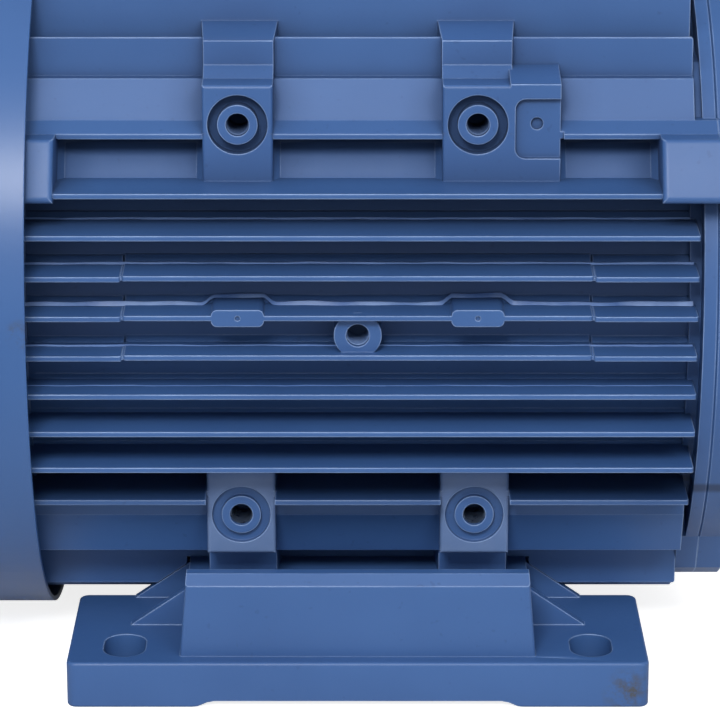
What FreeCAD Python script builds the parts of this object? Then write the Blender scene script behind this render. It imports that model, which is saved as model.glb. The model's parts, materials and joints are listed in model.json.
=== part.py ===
import math
import os
from FreeCAD import Vector
import Part

# Three-phase induction motor, frame size 112M, foot mounted, sizes in millimetres
# X runs along the shaft to the drive end and Z is up. The origin lies on the base plane,
# amid the four foot holes. Pieces are drawn about the shaft axis and raised when saved

# Standard mounting sizes of the frame
shaft_height = 112.0
foot_hole_pitch_x = 140.0
foot_hole_pitch_y = 190.0
foot_slot_width = 12.6
foot_slot_length = 18.4
shoulder_offset = 70.0
shaft_diameter = 28.0
shaft_extension = 60.0
keyway_width = 8.0
keyway_depth = 4.0
keyway_length = 50.0
shaft_thread_radius = 4.25
shaft_thread_depth = 22.0
overall_length = 400.0

# Active iron
core_radius = 80.0
core_bore_radius = 45.0
core_length = 120.0
air_gap = 0.4
stator_slots = 24
slot_depth = 17.0
slot_mouth_width = 2.4
slot_neck = 1.0
slot_top_width = 6.0
slot_bottom_width = 9.6
slot_liner = 0.3
wedge_height = 2.2
end_turn_length = 24.0
end_turn_gap = 4.0
end_turn_chamfer = 5.0
rotor_bars = 20
bar_depth = 12.0
bar_width = 5.0
bar_cover = 1.2
cage_ring_length = 12.0

# Die-cast frame
frame_wall = 5.5
fin_height = 21.0
side_fin_height = 14.5
fin_pitch = 12.0
fin_rows = 5
lower_fin_levels = (6.0, 18.0, 29.5, 41.2, 53.4)
crown_edge_reach = 82.3
skirt_reach = 92.7
fin_root = 2.8
fin_tip = 1.5
fin_fillet = 1.8
fin_corner_radius = 0.8
fin_setback = 6.05
fin_step_half = 69.0
fin_step_drop = 0.3
fin_step_gap = 0.6
panel_setback = 6.65
end_ring_height = 11.0
end_ring_width = 4.2
end_neck_height = 2.5
end_web_height = 9.8
end_web_level = 73.6
joint_chamfer = 0.4
spigot_length = 5.0
lip_step = 0.8
lip_drop = 28.5
panel_low_step = 6.0
panel_low_rise = 4.5
panel_top_step = 13.5
panel_top_drop = 13.2
lower_wall_step = 5.6
lower_wall_end = 62.0
lower_panel_step = 12.0
lower_panel_end = 75.7
pad_inset = 1.5
pad_pitch_x = 70.0
pad_pitch_z = 120.0
pad_width = 20.6
pad_flare = 1.6
pad_edge_radius = 1.0
pad_ledge = 9.5
pad_crown_step = 13.5
pad_crown_slope = 15.3
pad_crown_width = 24.5
upper_pad_drops = (12.3, 9.1, 1.9, -0.9)
lower_pad_drops = (11.6, 8.0, 0.0, 0.0)
pad_hole_radius = 3.4
pad_hole_depth = 16.0
pad_boss_radius = 5.9
pad_groove_radius = 8.8
upper_groove_depth = 4.0
lower_groove_depth = 1.8
side_boss_radius = 7.0
side_boss_inset = 3.0
ejector_half_length = 7.7
ejector_rise = 2.55
ejector_corner_radius = 1.75
crater_radius = 0.7
crater_depth = 0.5
earth_block_length = 13.8
earth_block_slope = 16.5
earth_block_drop = 9.5
earth_face_drop = 12.0
earth_recess_depth = 1.8
earth_recess_level = 58.75
earth_recess_half = 8.85
earth_recess_margin = 0.6
earth_recess_radius = 3.0
earth_dimple_radius = 1.8
earth_dimple_depth = 1.2

# End shields and their bolts
seal_space = 8.0
lug_width = 20.0
lug_height = 22.5
lug_length = 17.2
lug_floor = 40.0
lug_top = 57.9
lug_edge_radius = 1.6
low_lug_height = 17.5
low_lug_length = 6.6
low_lug_side = 14.1
low_lug_crest = 1.2
low_boss_radius = 5.5
shield_bolt_count = 4
shield_bolt_angle = 30.0
shield_bolt_height = 11.5
shield_bolt_radius = 3.0
shield_bolt_grip = 14.0
drive_flange = 7.8
fan_flange = 13.3
shield_wall = 5.0
spigot_wall = 5.0
shield_ribs = 8
shield_rib_width = 4.0
shield_rib_inset = 6.0
housing_wall = 6.0
housing_lip = 4.0
housing_back = 1.0
lip_gap = 2.0

# Ball bearings, 30 by 62 by 16
bearing_bore_radius = 15.0
bearing_outer_radius = 31.0
bearing_width = 16.0
bearing_ring_wall = 5.0
bearing_cover_thickness = 0.8
cage_width = 10.0
bearing_inset = 6.8
spring_thickness = 1.6
spring_width = 3.5
circlip_thickness = 1.2
circlip_bite = 2.0
circlip_height = 4.5

# Shaft steps, fan and cowl
rotor_seat_radius = 19.0
fan_seat_radius = 12.0
fan_hub_radius = 22.0
fan_hub_share = 0.482
fan_radius = 94.0
fan_plate = 2.5
fan_blades = 8
fan_blade_share = 0.63
fan_blade_thickness = 2.5
fan_blade_root = 20.0
fan_blade_corner = 66.0
fan_standoff = 11.0
shaft_tail = 4.0
cowl_air_gap = 5.2
cowl_wall = 1.5
cowl_overlap = 2.8
cowl_corner_radius = 14.0
grille_inner_radius = 22.0
grille_slot = 6.5
grille_web = 4.5
grille_rings = 6
grille_spokes = 6
grille_spoke_width = 6.0
cowl_screw_count = 4
cowl_screw_angle = 45.0
cowl_screw_share = 0.68
cowl_ear_width = 16.0
cowl_screw_radius = 2.5
cowl_screw_grip = 5.0
v_ring_width = 5.5
v_ring_height = 6.0

# Feet
foot_end_margin = 16.7
foot_side_margin = 14.5
foot_plate = 14.2
foot_inner = 51.6
foot_corner_radius = 3.0
foot_edge_radius = 0.9
foot_gap = 0.4
pedestal_end_margin = 5.7
pedestal_draft = 2.1
pedestal_setback = 5.3
pedestal_edge_radius = 1.0
pedestal_roof = 10.0
pedestal_wall = 5.0
pedestal_lip_height = 11.5
pedestal_lip_width = 6.8
pedestal_lip_chamfer = 3.0
sole_relief = 2.1
sole_relief_half_length = 42.8
sole_relief_slope = 7.2
sole_relief_curve = ((1.0, 0.0), (0.7, 0.2), (0.3, 0.8), (0.0, 1.0))
foot_rib_width = 3.0
foot_rib_run = 16.2
foot_rib_drop = 1.2
foot_rib_places = (53.1, 76.6)
foot_bolt_radius = 4.0
foot_bolt_grip = 13.0
foot_washer_thickness = 1.6
foot_washer_radius = 8.0

# Terminal box
box_offset = 36.0
box_length = 104.0
box_width = 92.0
box_height = 40.0
box_wall = 3.5
box_floor = 4.0
box_corner_radius = 8.0
box_least_radius = 1.0
box_seat_height = 2.0
box_gasket = 1.5
lid_height = 10.0
lid_wall = 3.0
lead_opening_length = 16.0
lead_opening_width = 26.0
box_screw_radius = 2.5
box_screw_inset = 10.0
box_screw_half_pitch = 24.0
box_screw_grip = 10.0
lid_post_radius = 5.5
lid_post_inset = 8.0
lid_screw_radius = 2.0
lid_screw_grip = 12.0
board_wall_gap = 1.5
board_lead_gap = 9.0
board_width = 34.0
board_thickness = 7.0
board_fence_thickness = 2.0
board_screw_radius = 2.0
board_screw_margin = 5.0
stud_pitch_share = 0.273
stud_pitch_y = 16.0
stud_radius = 2.5
stud_height = 14.0
link_thickness = 1.5
link_width = 9.0
nut_across = 8.0
nut_height = 4.0
earth_screw_offset = 34.0
gland_thread_radius = 12.5
gland_bore_radius = 8.5
gland_half_pitch = 22.0
gland_across = 30.0
gland_collar = 7.0
gland_neck = 8.0
gland_tail = 6.0
gland_nut_across = 28.0
gland_nut_length = 16.0
gland_nut_mouth = 9.5
gland_seal_wall = 2.5
plug_collar = 5.0

# Screw heads, as multiples of the thread radius
cap_head_radius = 1.67
cap_head_height = 2.0
hex_head_across = 3.25
hex_head_height = 1.33
pan_head_radius = 2.0
pan_head_height = 1.4

# Clearances
running_clearance = 0.05
fit_clearance = 0.02
seal_clearance = 0.3
foot_clearance = 1.0
screw_end_gap = 1.0

# How far cuts and joints reach past a face, and the tolerance for picking edges
over = 1.0
close = 0.01

# Sizes that follow from those above
body_radius = core_radius + frame_wall
wall_middle = core_radius + frame_wall / 2
fin_circle_radius = body_radius + fin_height
side_half_width = body_radius + side_fin_height
side_boss_face = side_half_width - side_boss_inset
end_ring_radius = body_radius + end_ring_height
end_neck_radius = body_radius + end_neck_height
end_web_radius = body_radius + end_web_height
pad_face = body_radius - pad_inset
spigot_radius = pad_face
shelf_level = (fin_rows - 1.5) * fin_pitch
lug_radius = body_radius + lug_height
low_lug_radius = body_radius + low_lug_height
bolt_circle_radius = body_radius + shield_bolt_height
shaft_shoulder = foot_hole_pitch_x / 2 + shoulder_offset
shaft_end = shaft_shoulder + shaft_extension
frame_end = shaft_shoulder - seal_space - housing_lip - bearing_width - bearing_inset
fin_half_length = frame_end - fin_setback
panel_half_length = frame_end - panel_setback
end_ring_start = frame_end - end_ring_width
bearing_start = frame_end + bearing_inset
bearing_end = bearing_start + bearing_width
housing_end = bearing_end + housing_lip
fan_housing_end = housing_end + spring_thickness
inner_ring_radius = bearing_bore_radius + bearing_ring_wall
outer_ring_bore = bearing_outer_radius - bearing_ring_wall
rotor_radius = core_bore_radius - air_gap
cowl_radius = fin_circle_radius + cowl_air_gap
cowl_inner_radius = cowl_radius - cowl_wall
cowl_start = cowl_overlap - panel_half_length
cowl_end = shaft_end - overall_length
cowl_screw_x = -frame_end - cowl_screw_share * fan_flange
fan_front = -fan_housing_end - fan_standoff
fan_room = fan_front - cowl_end - cowl_wall
fan_hub_length = fan_hub_share * fan_room
fan_blade_width = fan_blade_share * fan_room
fan_back = fan_front - fan_hub_length
sole = -shaft_height
pad_inner = pad_face - pad_crown_step - pad_crown_width
pad_bolt_y = pad_face - pad_crown_step - pad_crown_width / 2
foot_half_length = foot_hole_pitch_x / 2 + foot_end_margin
foot_outer = foot_hole_pitch_y / 2 + foot_side_margin
pedestal_half = pad_pitch_x / 2 + pad_width / 2 + pedestal_end_margin
pedestal_outer = foot_outer - pedestal_setback
pedestal_top = pedestal_lip_height - pad_face
plate_top = sole + foot_plate
roof_under = -pad_face - pedestal_roof
lead_start = core_length / 2 + end_turn_gap
box_seat = side_half_width + box_seat_height
box_bottom = box_seat + box_gasket
floor_top = box_bottom + box_floor
box_top = box_bottom + box_height
lid_bottom = box_top + box_gasket
board_start = box_offset - box_length / 2 + box_wall + board_wall_gap
board_end = lead_start - board_lead_gap
board_length = board_end - board_start
board_centre = (board_start + board_end) / 2
board_top = floor_top + board_thickness
stud_pitch_x = stud_pitch_share * board_length
gland_level = box_bottom + box_height / 2


# Drawing helpers
def rod(radius, x0, x1):
    return Part.makeCylinder(radius, x1 - x0, Vector(x0, 0, 0), Vector(1, 0, 0))


def ring(outer, inner, x0, x1):
    return rod(outer, x0, x1).cut(rod(inner, x0 - over, x1 + over))


def post(radius, x, y, z0, z1):
    return Part.makeCylinder(radius, z1 - z0, Vector(x, y, z0), Vector(0, 0, 1))


def stub(radius, x, z, y0, y1):
    return Part.makeCylinder(radius, y1 - y0, Vector(x, y0, z), Vector(0, 1, 0))


def block(x0, x1, y0, y1, z0, z1):
    return Part.makeBox(x1 - x0, y1 - y0, z1 - z0, Vector(x0, y0, z0))


def prism(points, run):
    return Part.Face(Part.makePolygon(points + points[:1])).extrude(run)


def prism_x(outline, x0, x1):
    return prism([Vector(x0, y, z) for y, z in outline], Vector(x1 - x0, 0, 0))


def prism_y(outline, y0, y1):
    return prism([Vector(x, y0, z) for x, z in outline], Vector(0, y1 - y0, 0))


def prism_z(outline, z0, z1):
    return prism([Vector(x, y, z0) for x, y in outline], Vector(0, 0, z1 - z0))


def hexagon(across, x, y, z0, z1):
    corner = across / math.sqrt(3)
    turns = [math.tau * k / 6 for k in range(6)]
    return prism_z([(x + corner * math.cos(t), y + corner * math.sin(t)) for t in turns], z0, z1)


def turned(profile):
    points = [Vector(x, 0, r) for x, r in profile + profile[:1]]
    return Part.Face(Part.makePolygon(points)).revolve(Vector(0, 0, 0), Vector(1, 0, 0), 360)


def around(shape, angle):
    return shape.rotated(Vector(0, 0, 0), Vector(1, 0, 0), angle)


def spread(shape, count, start=0):
    return [around(shape, start + 360 * k / count) for k in range(count)]


def mirrored_x(shape):
    return shape.mirror(Vector(0, 0, 0), Vector(1, 0, 0))


def mirrored_z(shape):
    return shape.mirror(Vector(0, 0, 0), Vector(0, 0, 1))


def both_sides(shapes):
    return shapes + [s.mirror(Vector(0, 0, 0), Vector(0, 1, 0)) for s in shapes]


def joined(shapes):
    return shapes[0].multiFuse(shapes[1:]).removeSplitter()


def single(shape):
    return shape.Solids[0] if len(shape.Solids) == 1 else shape


def rounded(shape, radius, wanted):
    return shape.makeFillet(radius, [e for e in shape.Edges if wanted(e)])


def runs(edge, axis):
    ends = [v.Point for v in edge.Vertexes]
    return len(ends) == 2 and (ends[1] - ends[0]).cross(axis).Length < close


def upright(edge):
    return runs(edge, Vector(0, 0, 1))


def save(name, solids):
    group = Part.makeCompound(solids) if len(solids) > 1 else single(solids[0])
    group.translated(Vector(0, 0, shaft_height)).exportStep("parts/" + name + ".step")


# Die-cast stator frame
def fin_reach(level):
    return min(side_half_width, math.sqrt(fin_circle_radius ** 2 - level ** 2))


def fin(level, tip, start, end):
    root = math.sqrt(max(core_radius ** 2 - level ** 2, 0))
    body = math.sqrt(body_radius ** 2 - level ** 2)
    foot = body + fin_fillet
    neck = (fin_tip + (fin_root - fin_tip) * (tip - foot) / (tip - root)) / 2
    edge = [(-root, neck + fin_fillet), (-body, neck + fin_fillet), (-foot, neck), (-tip, fin_tip / 2)]
    outline = [(y, level + rise) for y, rise in edge] + [(y, level - rise) for y, rise in reversed(edge)]
    plate = prism_x(outline, start, end)
    return rounded(plate, fin_corner_radius, lambda e: upright(e) and e.CenterOfMass.y < close - tip)


def long_fin(level):
    return fin(level, fin_reach(level), -fin_half_length, fin_half_length)


def short_fin(level, tip):
    return fin(level, tip, -panel_half_length, panel_half_length)


def stepped_fin(level):
    tip = fin_reach(level)
    inner = fin_step_half - fin_step_gap
    end = fin(level - fin_step_drop, tip, fin_step_half, fin_half_length)
    low = level - fin_tip / 2
    bridge = block(inner - over, fin_step_half + over, fin_step_gap - tip, -core_radius, low, level)
    return [fin(level, tip, -inner, inner), end, mirrored_x(end), bridge, mirrored_x(bridge)]


def frame_fins():
    levels = [(k + 0.5) * fin_pitch for k in range(fin_rows)]
    outermost = levels[-1] + fin_pitch
    sides = [long_fin(z) for z in levels[2:-1]] + [long_fin(-z) for z in lower_fin_levels[1:-1]]
    for level in (levels[0], levels[1], -lower_fin_levels[0]):
        sides += stepped_fin(level)
    lowest = lower_fin_levels[-1]
    sides.append(short_fin(-lowest, fin_reach(lowest)))
    crown = [short_fin(y, fin_reach(y)) for y in levels] + [short_fin(outermost, crown_edge_reach)]
    belly = [short_fin(y, fin_reach(y)) for y in levels[:-1]] + [short_fin(levels[-1], skirt_reach)]
    return both_sides(sides + [around(f, -90) for f in crown] + [around(f, 90) for f in belly])


def wall_reach(level):
    return math.sqrt(wall_middle ** 2 - level ** 2)


def wall_corner():
    return (-wall_middle / math.sqrt(2), wall_middle / math.sqrt(2))


def upper_panel():
    lip = pad_face - lip_drop
    top = pad_face - panel_top_drop
    outline = [
        (lip_step - pad_face, lip),
        (lip_step - pad_face, lip + fin_tip),
        (panel_low_step - pad_face, lip + panel_low_rise),
        (panel_top_step - pad_face, top),
        (-wall_reach(top), top),
        wall_corner(),
        (-wall_reach(lip), lip),
    ]
    return prism_x(outline, -panel_half_length, panel_half_length)


def lower_panel():
    start = lower_fin_levels[-1]
    outline = [
        (lower_wall_step - pad_face, start),
        (lower_wall_step - pad_face, lower_wall_end),
        (lower_panel_step - pad_face, lower_panel_end),
        (-wall_reach(lower_panel_end), lower_panel_end),
        wall_corner(),
        (-wall_reach(start), start),
    ]
    return mirrored_z(prism_x(outline, -panel_half_length, panel_half_length))


def corner_pad(face_drop, low_drop, front_drop, back_drop):
    crown = pad_crown_step - pad_face
    outline = [
        (-pad_face, shelf_level),
        (-pad_face, pad_face - face_drop),
        (pad_ledge - pad_face, pad_face - face_drop),
        (crown, pad_face - low_drop),
        (crown, pad_face - front_drop),
        (crown + pad_crown_slope, pad_face - back_drop),
        (-pad_inner, pad_face - back_drop),
        (-pad_inner, wall_reach(pad_inner)),
        wall_corner(),
        (-wall_reach(shelf_level), shelf_level),
    ]
    centre = pad_pitch_x / 2
    half = pad_width / 2
    wide = half + pad_flare
    plan = [(half, -pad_face), (half, crown), (wide, -pad_inner), (wide, 0)]
    plan = [(centre + x, y) for x, y in plan] + [(centre - x, y) for x, y in reversed(plan)]
    solid = prism_x(outline, centre - pad_width, centre + pad_width).common(prism_z(plan, 0, shaft_height))
    return rounded(solid, pad_edge_radius,
                   lambda e: e.CenterOfMass.y < close - pad_face and e.CenterOfMass.z > shelf_level + close)


def frame_pads():
    upper = corner_pad(*upper_pad_drops)
    lower = mirrored_z(corner_pad(*lower_pad_drops))
    return both_sides([upper, lower, mirrored_x(upper), mirrored_x(lower)])


def earth_block():
    start = pad_pitch_x / 2 + pad_width / 2
    outline = [
        (-pad_face, shelf_level),
        (-pad_face, pad_face - earth_face_drop),
        (earth_block_slope - pad_face, pad_face - earth_block_drop),
        wall_corner(),
        (-wall_reach(shelf_level), shelf_level),
    ]
    return prism_x(outline, start - pad_edge_radius, start + earth_block_length)


def earth_recess():
    start = pad_pitch_x / 2 + pad_width / 2
    end = start + earth_block_length
    left = start + earth_recess_margin
    low = earth_recess_level - earth_recess_half
    high = earth_recess_level + earth_recess_half
    floor = earth_recess_depth - pad_face
    hollow = block(left, end + over, -pad_face - over, floor, low, high)
    hollow = rounded(hollow, earth_recess_radius,
                     lambda e: runs(e, Vector(0, 1, 0)) and e.CenterOfMass.x < left + close)
    bottom = floor + earth_dimple_depth
    dimple = stub(earth_dimple_radius, (start + end) / 2, pad_pitch_z / 2, floor - over, bottom)
    return [hollow, dimple]


def side_details():
    boss = stub(side_boss_radius, 0, 0, -side_boss_face, -core_radius)
    low = fin_pitch / 2 - ejector_rise
    high = fin_pitch / 2 + ejector_rise
    lozenge = block(-ejector_half_length, ejector_half_length, -side_half_width, -core_radius, low, high)
    lozenge = rounded(lozenge, ejector_corner_radius, lambda e: runs(e, Vector(0, 1, 0)))
    aside = Vector(pad_pitch_x / 2, 0, 0)
    return both_sides([boss, lozenge.translated(aside), lozenge.translated(-aside)])


def lug(radius, width, x0, x1):
    bar = block(x0, x1, -radius - over, -wall_middle, -width / 2, width / 2)
    return bar.common(rod(radius, x0, x1))


def side_lug(x0, x1):
    def outer_edge(e):
        middle = e.CenterOfMass
        return math.hypot(middle.y, middle.z) > lug_radius - over and x0 - close < middle.x < x1 - close

    lip = pad_face - lip_drop
    band = lip + panel_low_rise
    outline = [
        (-lug_radius - over, lug_floor),
        (-lug_radius - over, lug_top),
        (lip_step - pad_face, lip + fin_tip),
        (panel_low_step - pad_face, band),
        (-wall_reach(band), band),
        (-wall_reach(lug_floor), lug_floor),
    ]
    solid = prism_x(outline, x0, x1).common(rod(lug_radius, x0, x1))
    return rounded(solid, lug_edge_radius, outer_edge)


def low_lug(x0, x1):
    half = lug_width / 2
    outer = -low_lug_radius - over
    shoulder = math.sqrt(end_ring_radius ** 2 - low_lug_side ** 2)
    outline = [
        (-wall_middle, low_lug_side),
        (-shoulder, low_lug_side),
        (-low_lug_radius, low_lug_crest),
        (outer, low_lug_crest),
        (outer, -half),
        (-wall_middle, -half),
    ]
    return around(prism_x(outline, x0, x1).common(rod(low_lug_radius, x0, x1)), 90 - shield_bolt_angle)


def low_boss(x0, x1):
    stem = lug(bolt_circle_radius, low_boss_radius * 2, x0, x1)
    return around(stem.fuse(bolt_rod(low_boss_radius, x0, x1)), 90 - shield_bolt_angle)


def bolt_rod(radius, x0, x1):
    return rod(radius, x0, x1).translated(Vector(0, -bolt_circle_radius, 0))


def opposite(shapes):
    return shapes + [around(s, 180) for s in shapes]


def at_bolts(shape):
    return spread(shape, shield_bolt_count, -shield_bolt_angle)


def frame_lugs():
    start = frame_end - lug_length
    low_start = frame_end - low_lug_length
    solids = [side_lug(start, frame_end), low_lug(low_start, frame_end), low_boss(start, frame_end)]
    solids = opposite(solids)
    return solids + [mirrored_x(s) for s in solids]


def frame_rim():
    start = panel_half_length - over
    web = ring(end_web_radius, wall_middle, start, end_ring_start + over)
    window = block(start, frame_end, -end_web_radius, end_web_radius, pad_face - lip_drop, end_web_level)
    rim = turned([
        (start, wall_middle),
        (start, end_neck_radius),
        (end_ring_start, end_neck_radius),
        (end_ring_start, end_ring_radius),
        (frame_end - joint_chamfer, end_ring_radius),
        (frame_end, end_ring_radius - joint_chamfer),
        (frame_end, wall_middle),
    ])
    return rim.fuse(web.common(window))


def box_platform():
    half = box_length / 2
    return block(box_offset - half, box_offset + half, -box_width / 2, box_width / 2, 0, box_seat)


def box_screw_places():
    reach = box_length / 2 - box_screw_inset
    return [(box_offset + i * reach, j * box_screw_half_pitch) for i in (-1, 1) for j in (-1, 1)]


def lead_window(z0, z1):
    half = lead_opening_width / 2
    return block(lead_start, lead_start + lead_opening_length, -half, half, z0, z1)


def pad_cuts(x, z, groove_depth):
    groove = stub(pad_groove_radius, x, z, -pad_face - over, groove_depth - pad_face)
    groove = groove.cut(stub(pad_boss_radius, x, z, -side_half_width, -core_bore_radius))
    return [groove, stub(pad_hole_radius, x, z, -pad_face - over, pad_hole_depth - pad_face)]


def fin_gap(x):
    level = -lower_fin_levels[-1]
    half = pad_width / 2
    return block(x - half, x + half, -side_half_width, -pad_face, level - fin_root, level + fin_root)


def side_pad_cuts():
    cuts = []
    for x in (-pad_pitch_x / 2, pad_pitch_x / 2):
        cuts += pad_cuts(x, pad_pitch_z / 2, upper_groove_depth)
        cuts += pad_cuts(x, -pad_pitch_z / 2, lower_groove_depth) + [fin_gap(x)]
        bottom = crater_depth - side_half_width
        cuts.append(stub(crater_radius, x, fin_pitch / 2, -side_half_width - over, bottom))
    cuts.append(stub(pad_hole_radius, 0, 0, -side_half_width - over, -body_radius))
    return both_sides(cuts)


def foot_bolt_places(side):
    return [(i * pad_pitch_x / 2, side * pad_bolt_y) for i in (-1, 1)]


def foot_room():
    wide = pedestal_half + pedestal_draft
    rib_top = -pad_face - foot_rib_drop
    slope = (rib_top - plate_top) / (pedestal_draft + foot_rib_run)
    knee = rib_top - slope * (pedestal_draft - foot_gap)
    side = [(wide, -pad_face), (wide, knee), (wide + foot_rib_run + foot_gap, plate_top)]
    outline = side + [(-x, z) for x, z in reversed(side)]
    return prism_y(outline, -foot_outer, foot_clearance - pad_inner)


def frame_cuts():
    bolt_end = frame_end - shield_bolt_grip
    register = rod(spigot_radius, frame_end - spigot_length, frame_end + over)
    bolt = bolt_rod(shield_bolt_radius + running_clearance, bolt_end, frame_end + over)
    cuts = [rod(core_radius, -frame_end - over, frame_end + over), register, mirrored_x(register)]
    cuts += [lead_window(0, box_seat + over)] + both_sides([foot_room()]) + side_pad_cuts() + earth_recess()
    cuts += at_bolts(bolt) + [mirrored_x(b) for b in at_bolts(bolt)]
    foot_hole = foot_bolt_radius + running_clearance
    for x, y in foot_bolt_places(-1) + foot_bolt_places(1):
        cuts.append(post(foot_hole, x, y, -pad_face - over, foot_bolt_grip - pad_face))
    return cuts + box_holes(box_seat - box_screw_grip, box_seat + over)


def stator_frame():
    solids = [rod(body_radius, -frame_end, frame_end), frame_rim(), mirrored_x(frame_rim())]
    solids += frame_fins() + both_sides([upper_panel(), lower_panel()]) + frame_pads() + [earth_block()]
    solids += side_details() + frame_lugs() + [box_platform()]
    return [joined(solids).cut(frame_cuts())]


# Stator core, winding and slot wedges
def slot_outline(inset, r0, r1):
    def half(r):
        share = (r - core_bore_radius - slot_neck) / (slot_depth - slot_neck)
        return (slot_top_width + share * (slot_bottom_width - slot_top_width)) / 2 - inset

    return [(-half(r0), r0), (half(r0), r0), (half(r1), r1), (-half(r1), r1)]


def slot_prism(inset, r0, r1, half_length):
    return prism_x(slot_outline(inset, r0, r1), -half_length, half_length)


def stator_core():
    body = ring(core_radius - fit_clearance, core_bore_radius, -core_length / 2, core_length / 2)
    mouth_half = slot_mouth_width / 2
    neck = core_bore_radius + slot_neck
    bottom = core_bore_radius + slot_depth
    mouth_end = neck + slot_liner
    mouth = block(-core_length, core_length, -mouth_half, mouth_half, core_bore_radius - over, mouth_end)
    slots = spread(slot_prism(0, neck, bottom, core_length), stator_slots)
    return [body.cut(slots + spread(mouth, stator_slots))]


def stator_winding():
    inner = core_bore_radius + slot_neck + wedge_height + slot_liner
    outer = core_bore_radius + slot_depth - slot_liner
    start = core_length / 2 + end_turn_gap
    end = start + end_turn_length
    bulge = end_turn_chamfer
    head = turned([
        (start, inner),
        (start, outer),
        (start + bulge, outer + bulge),
        (end - bulge, outer + bulge),
        (end, outer),
        (end, inner + bulge),
        (end - bulge, inner),
    ])
    bars = spread(slot_prism(slot_liner, inner, outer, start + over), stator_slots)
    return [joined([head, mirrored_x(head)] + bars)]


def slot_wedges():
    neck = core_bore_radius + slot_neck
    return spread(slot_prism(slot_liner, neck, neck + wedge_height, core_length / 2), stator_slots)


# Rotor
def shaft_profile():
    shaft_radius = shaft_diameter / 2
    return [
        (fan_back - circlip_thickness - shaft_tail, fan_seat_radius),
        (fan_front, fan_seat_radius),
        (fan_front, bearing_bore_radius),
        (-bearing_start, bearing_bore_radius),
        (-bearing_start, rotor_seat_radius),
        (bearing_start, rotor_seat_radius),
        (bearing_start, bearing_bore_radius),
        (shaft_shoulder, bearing_bore_radius),
        (shaft_shoulder, shaft_radius),
        (shaft_end, shaft_radius),
    ]


def shaft():
    steps = shaft_profile()
    body = turned(steps + [(steps[-1][0], 0), (steps[0][0], 0)])
    key_half = keyway_width / 2
    middle = shaft_shoulder + shaft_extension / 2
    floor = shaft_diameter / 2 - keyway_depth
    reach = keyway_length / 2 - key_half
    keyway = block(middle - reach, middle + reach, -key_half, key_half, floor, shaft_diameter)
    ends = [post(key_half, middle + i * reach, 0, floor, shaft_diameter) for i in (-1, 1)]
    bottom = fan_seat_radius - circlip_bite / 2
    groove = ring(fan_seat_radius + over, bottom, fan_back - circlip_thickness, fan_back)
    thread = rod(shaft_thread_radius, shaft_end - shaft_thread_depth, shaft_end + over)
    return [body.cut([keyway, groove, thread] + ends)]


def bar_prism(half_length):
    outer = rotor_radius - bar_cover
    inner = outer - bar_depth
    half = bar_width / 2
    outline = [
        (-half / 2, inner),
        (half / 2, inner),
        (half, outer - half),
        (half / 2, outer),
        (-half / 2, outer),
        (-half, outer - half),
    ]
    return prism_x(outline, -half_length, half_length)


def rotor_core():
    body = ring(rotor_radius, rotor_seat_radius + fit_clearance, -core_length / 2, core_length / 2)
    return [body.cut(spread(bar_prism(core_length), rotor_bars))]


def rotor_cage():
    start = core_length / 2
    inner = rotor_radius - bar_cover - bar_depth - bar_width
    end_ring = ring(rotor_radius - bar_cover, inner, start, start + cage_ring_length)
    bars = spread(bar_prism(start + over), rotor_bars)
    return [joined([end_ring, mirrored_x(end_ring)] + bars)]


# Bearings, drawn at the drive end and mirrored to the fan end
def bearing_outer_ring():
    return ring(bearing_outer_radius - fit_clearance, outer_ring_bore, bearing_start, bearing_end)


def bearing_inner_ring():
    return ring(inner_ring_radius, bearing_bore_radius + fit_clearance, bearing_start, bearing_end)


def bearing_covers():
    outer = outer_ring_bore - fit_clearance
    inner = inner_ring_radius + seal_clearance
    near = ring(outer, inner, bearing_start, bearing_start + bearing_cover_thickness)
    return [near, near.translated(Vector(bearing_width - bearing_cover_thickness, 0, 0))]


def bearing_cage():
    outer = outer_ring_bore - running_clearance
    inner = inner_ring_radius + running_clearance
    middle = (bearing_start + bearing_end) / 2
    return ring(outer, inner, middle - cage_width / 2, middle + cage_width / 2)


def preload_spring():
    outer = bearing_outer_radius - seal_clearance
    return [ring(outer, outer - spring_width, -bearing_end - spring_thickness, -bearing_end)]


def bearing_circlip():
    outer = bearing_outer_radius + circlip_bite - fit_clearance
    return [ring(outer, outer - circlip_height, bearing_start - circlip_thickness, bearing_start)]


# End shields
def shield_body(flange, house_end):
    face = frame_end + flange
    rim = spigot_radius - fit_clearance
    hub = bearing_outer_radius + housing_wall
    bore = bearing_outer_radius
    back = frame_end - housing_back
    spigot_start = frame_end - spigot_length + seal_clearance
    return turned([
        (spigot_start, rim - spigot_wall),
        (spigot_start, rim),
        (frame_end, rim),
        (frame_end, end_ring_radius - joint_chamfer),
        (frame_end + joint_chamfer, end_ring_radius),
        (face, end_ring_radius),
        (face, hub),
        (house_end, hub),
        (house_end, bearing_bore_radius + lip_gap),
        (house_end - housing_lip, bearing_bore_radius + lip_gap),
        (house_end - housing_lip, bore),
        (back, bore),
        (back, hub),
        (face - shield_wall, hub),
        (face - shield_wall, rim - spigot_wall),
    ])


def shield_rib(flange, house_end):
    half = shield_rib_width / 2
    hub = bearing_outer_radius + housing_wall / 2
    tip = end_ring_radius - shield_rib_inset
    face = frame_end + flange - shield_wall / 2
    crest = house_end - housing_lip
    outline = [
        (face, hub),
        (crest, hub),
        (crest, hub + housing_wall),
        (face + shield_wall, tip),
        (face, tip),
    ]
    return prism([Vector(x, -half, r) for x, r in outline], Vector(0, shield_rib_width, 0))


def end_shield(flange, house_end):
    face = frame_end + flange
    ears = opposite([side_lug(frame_end, face), low_lug(frame_end, face)])
    ribs = spread(shield_rib(flange, house_end), shield_ribs, -shield_bolt_angle)
    hole = bolt_rod(shield_bolt_radius + running_clearance, frame_end - over, face + over)
    return joined([shield_body(flange, house_end)] + ears + ribs).cut(at_bolts(hole))


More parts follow.
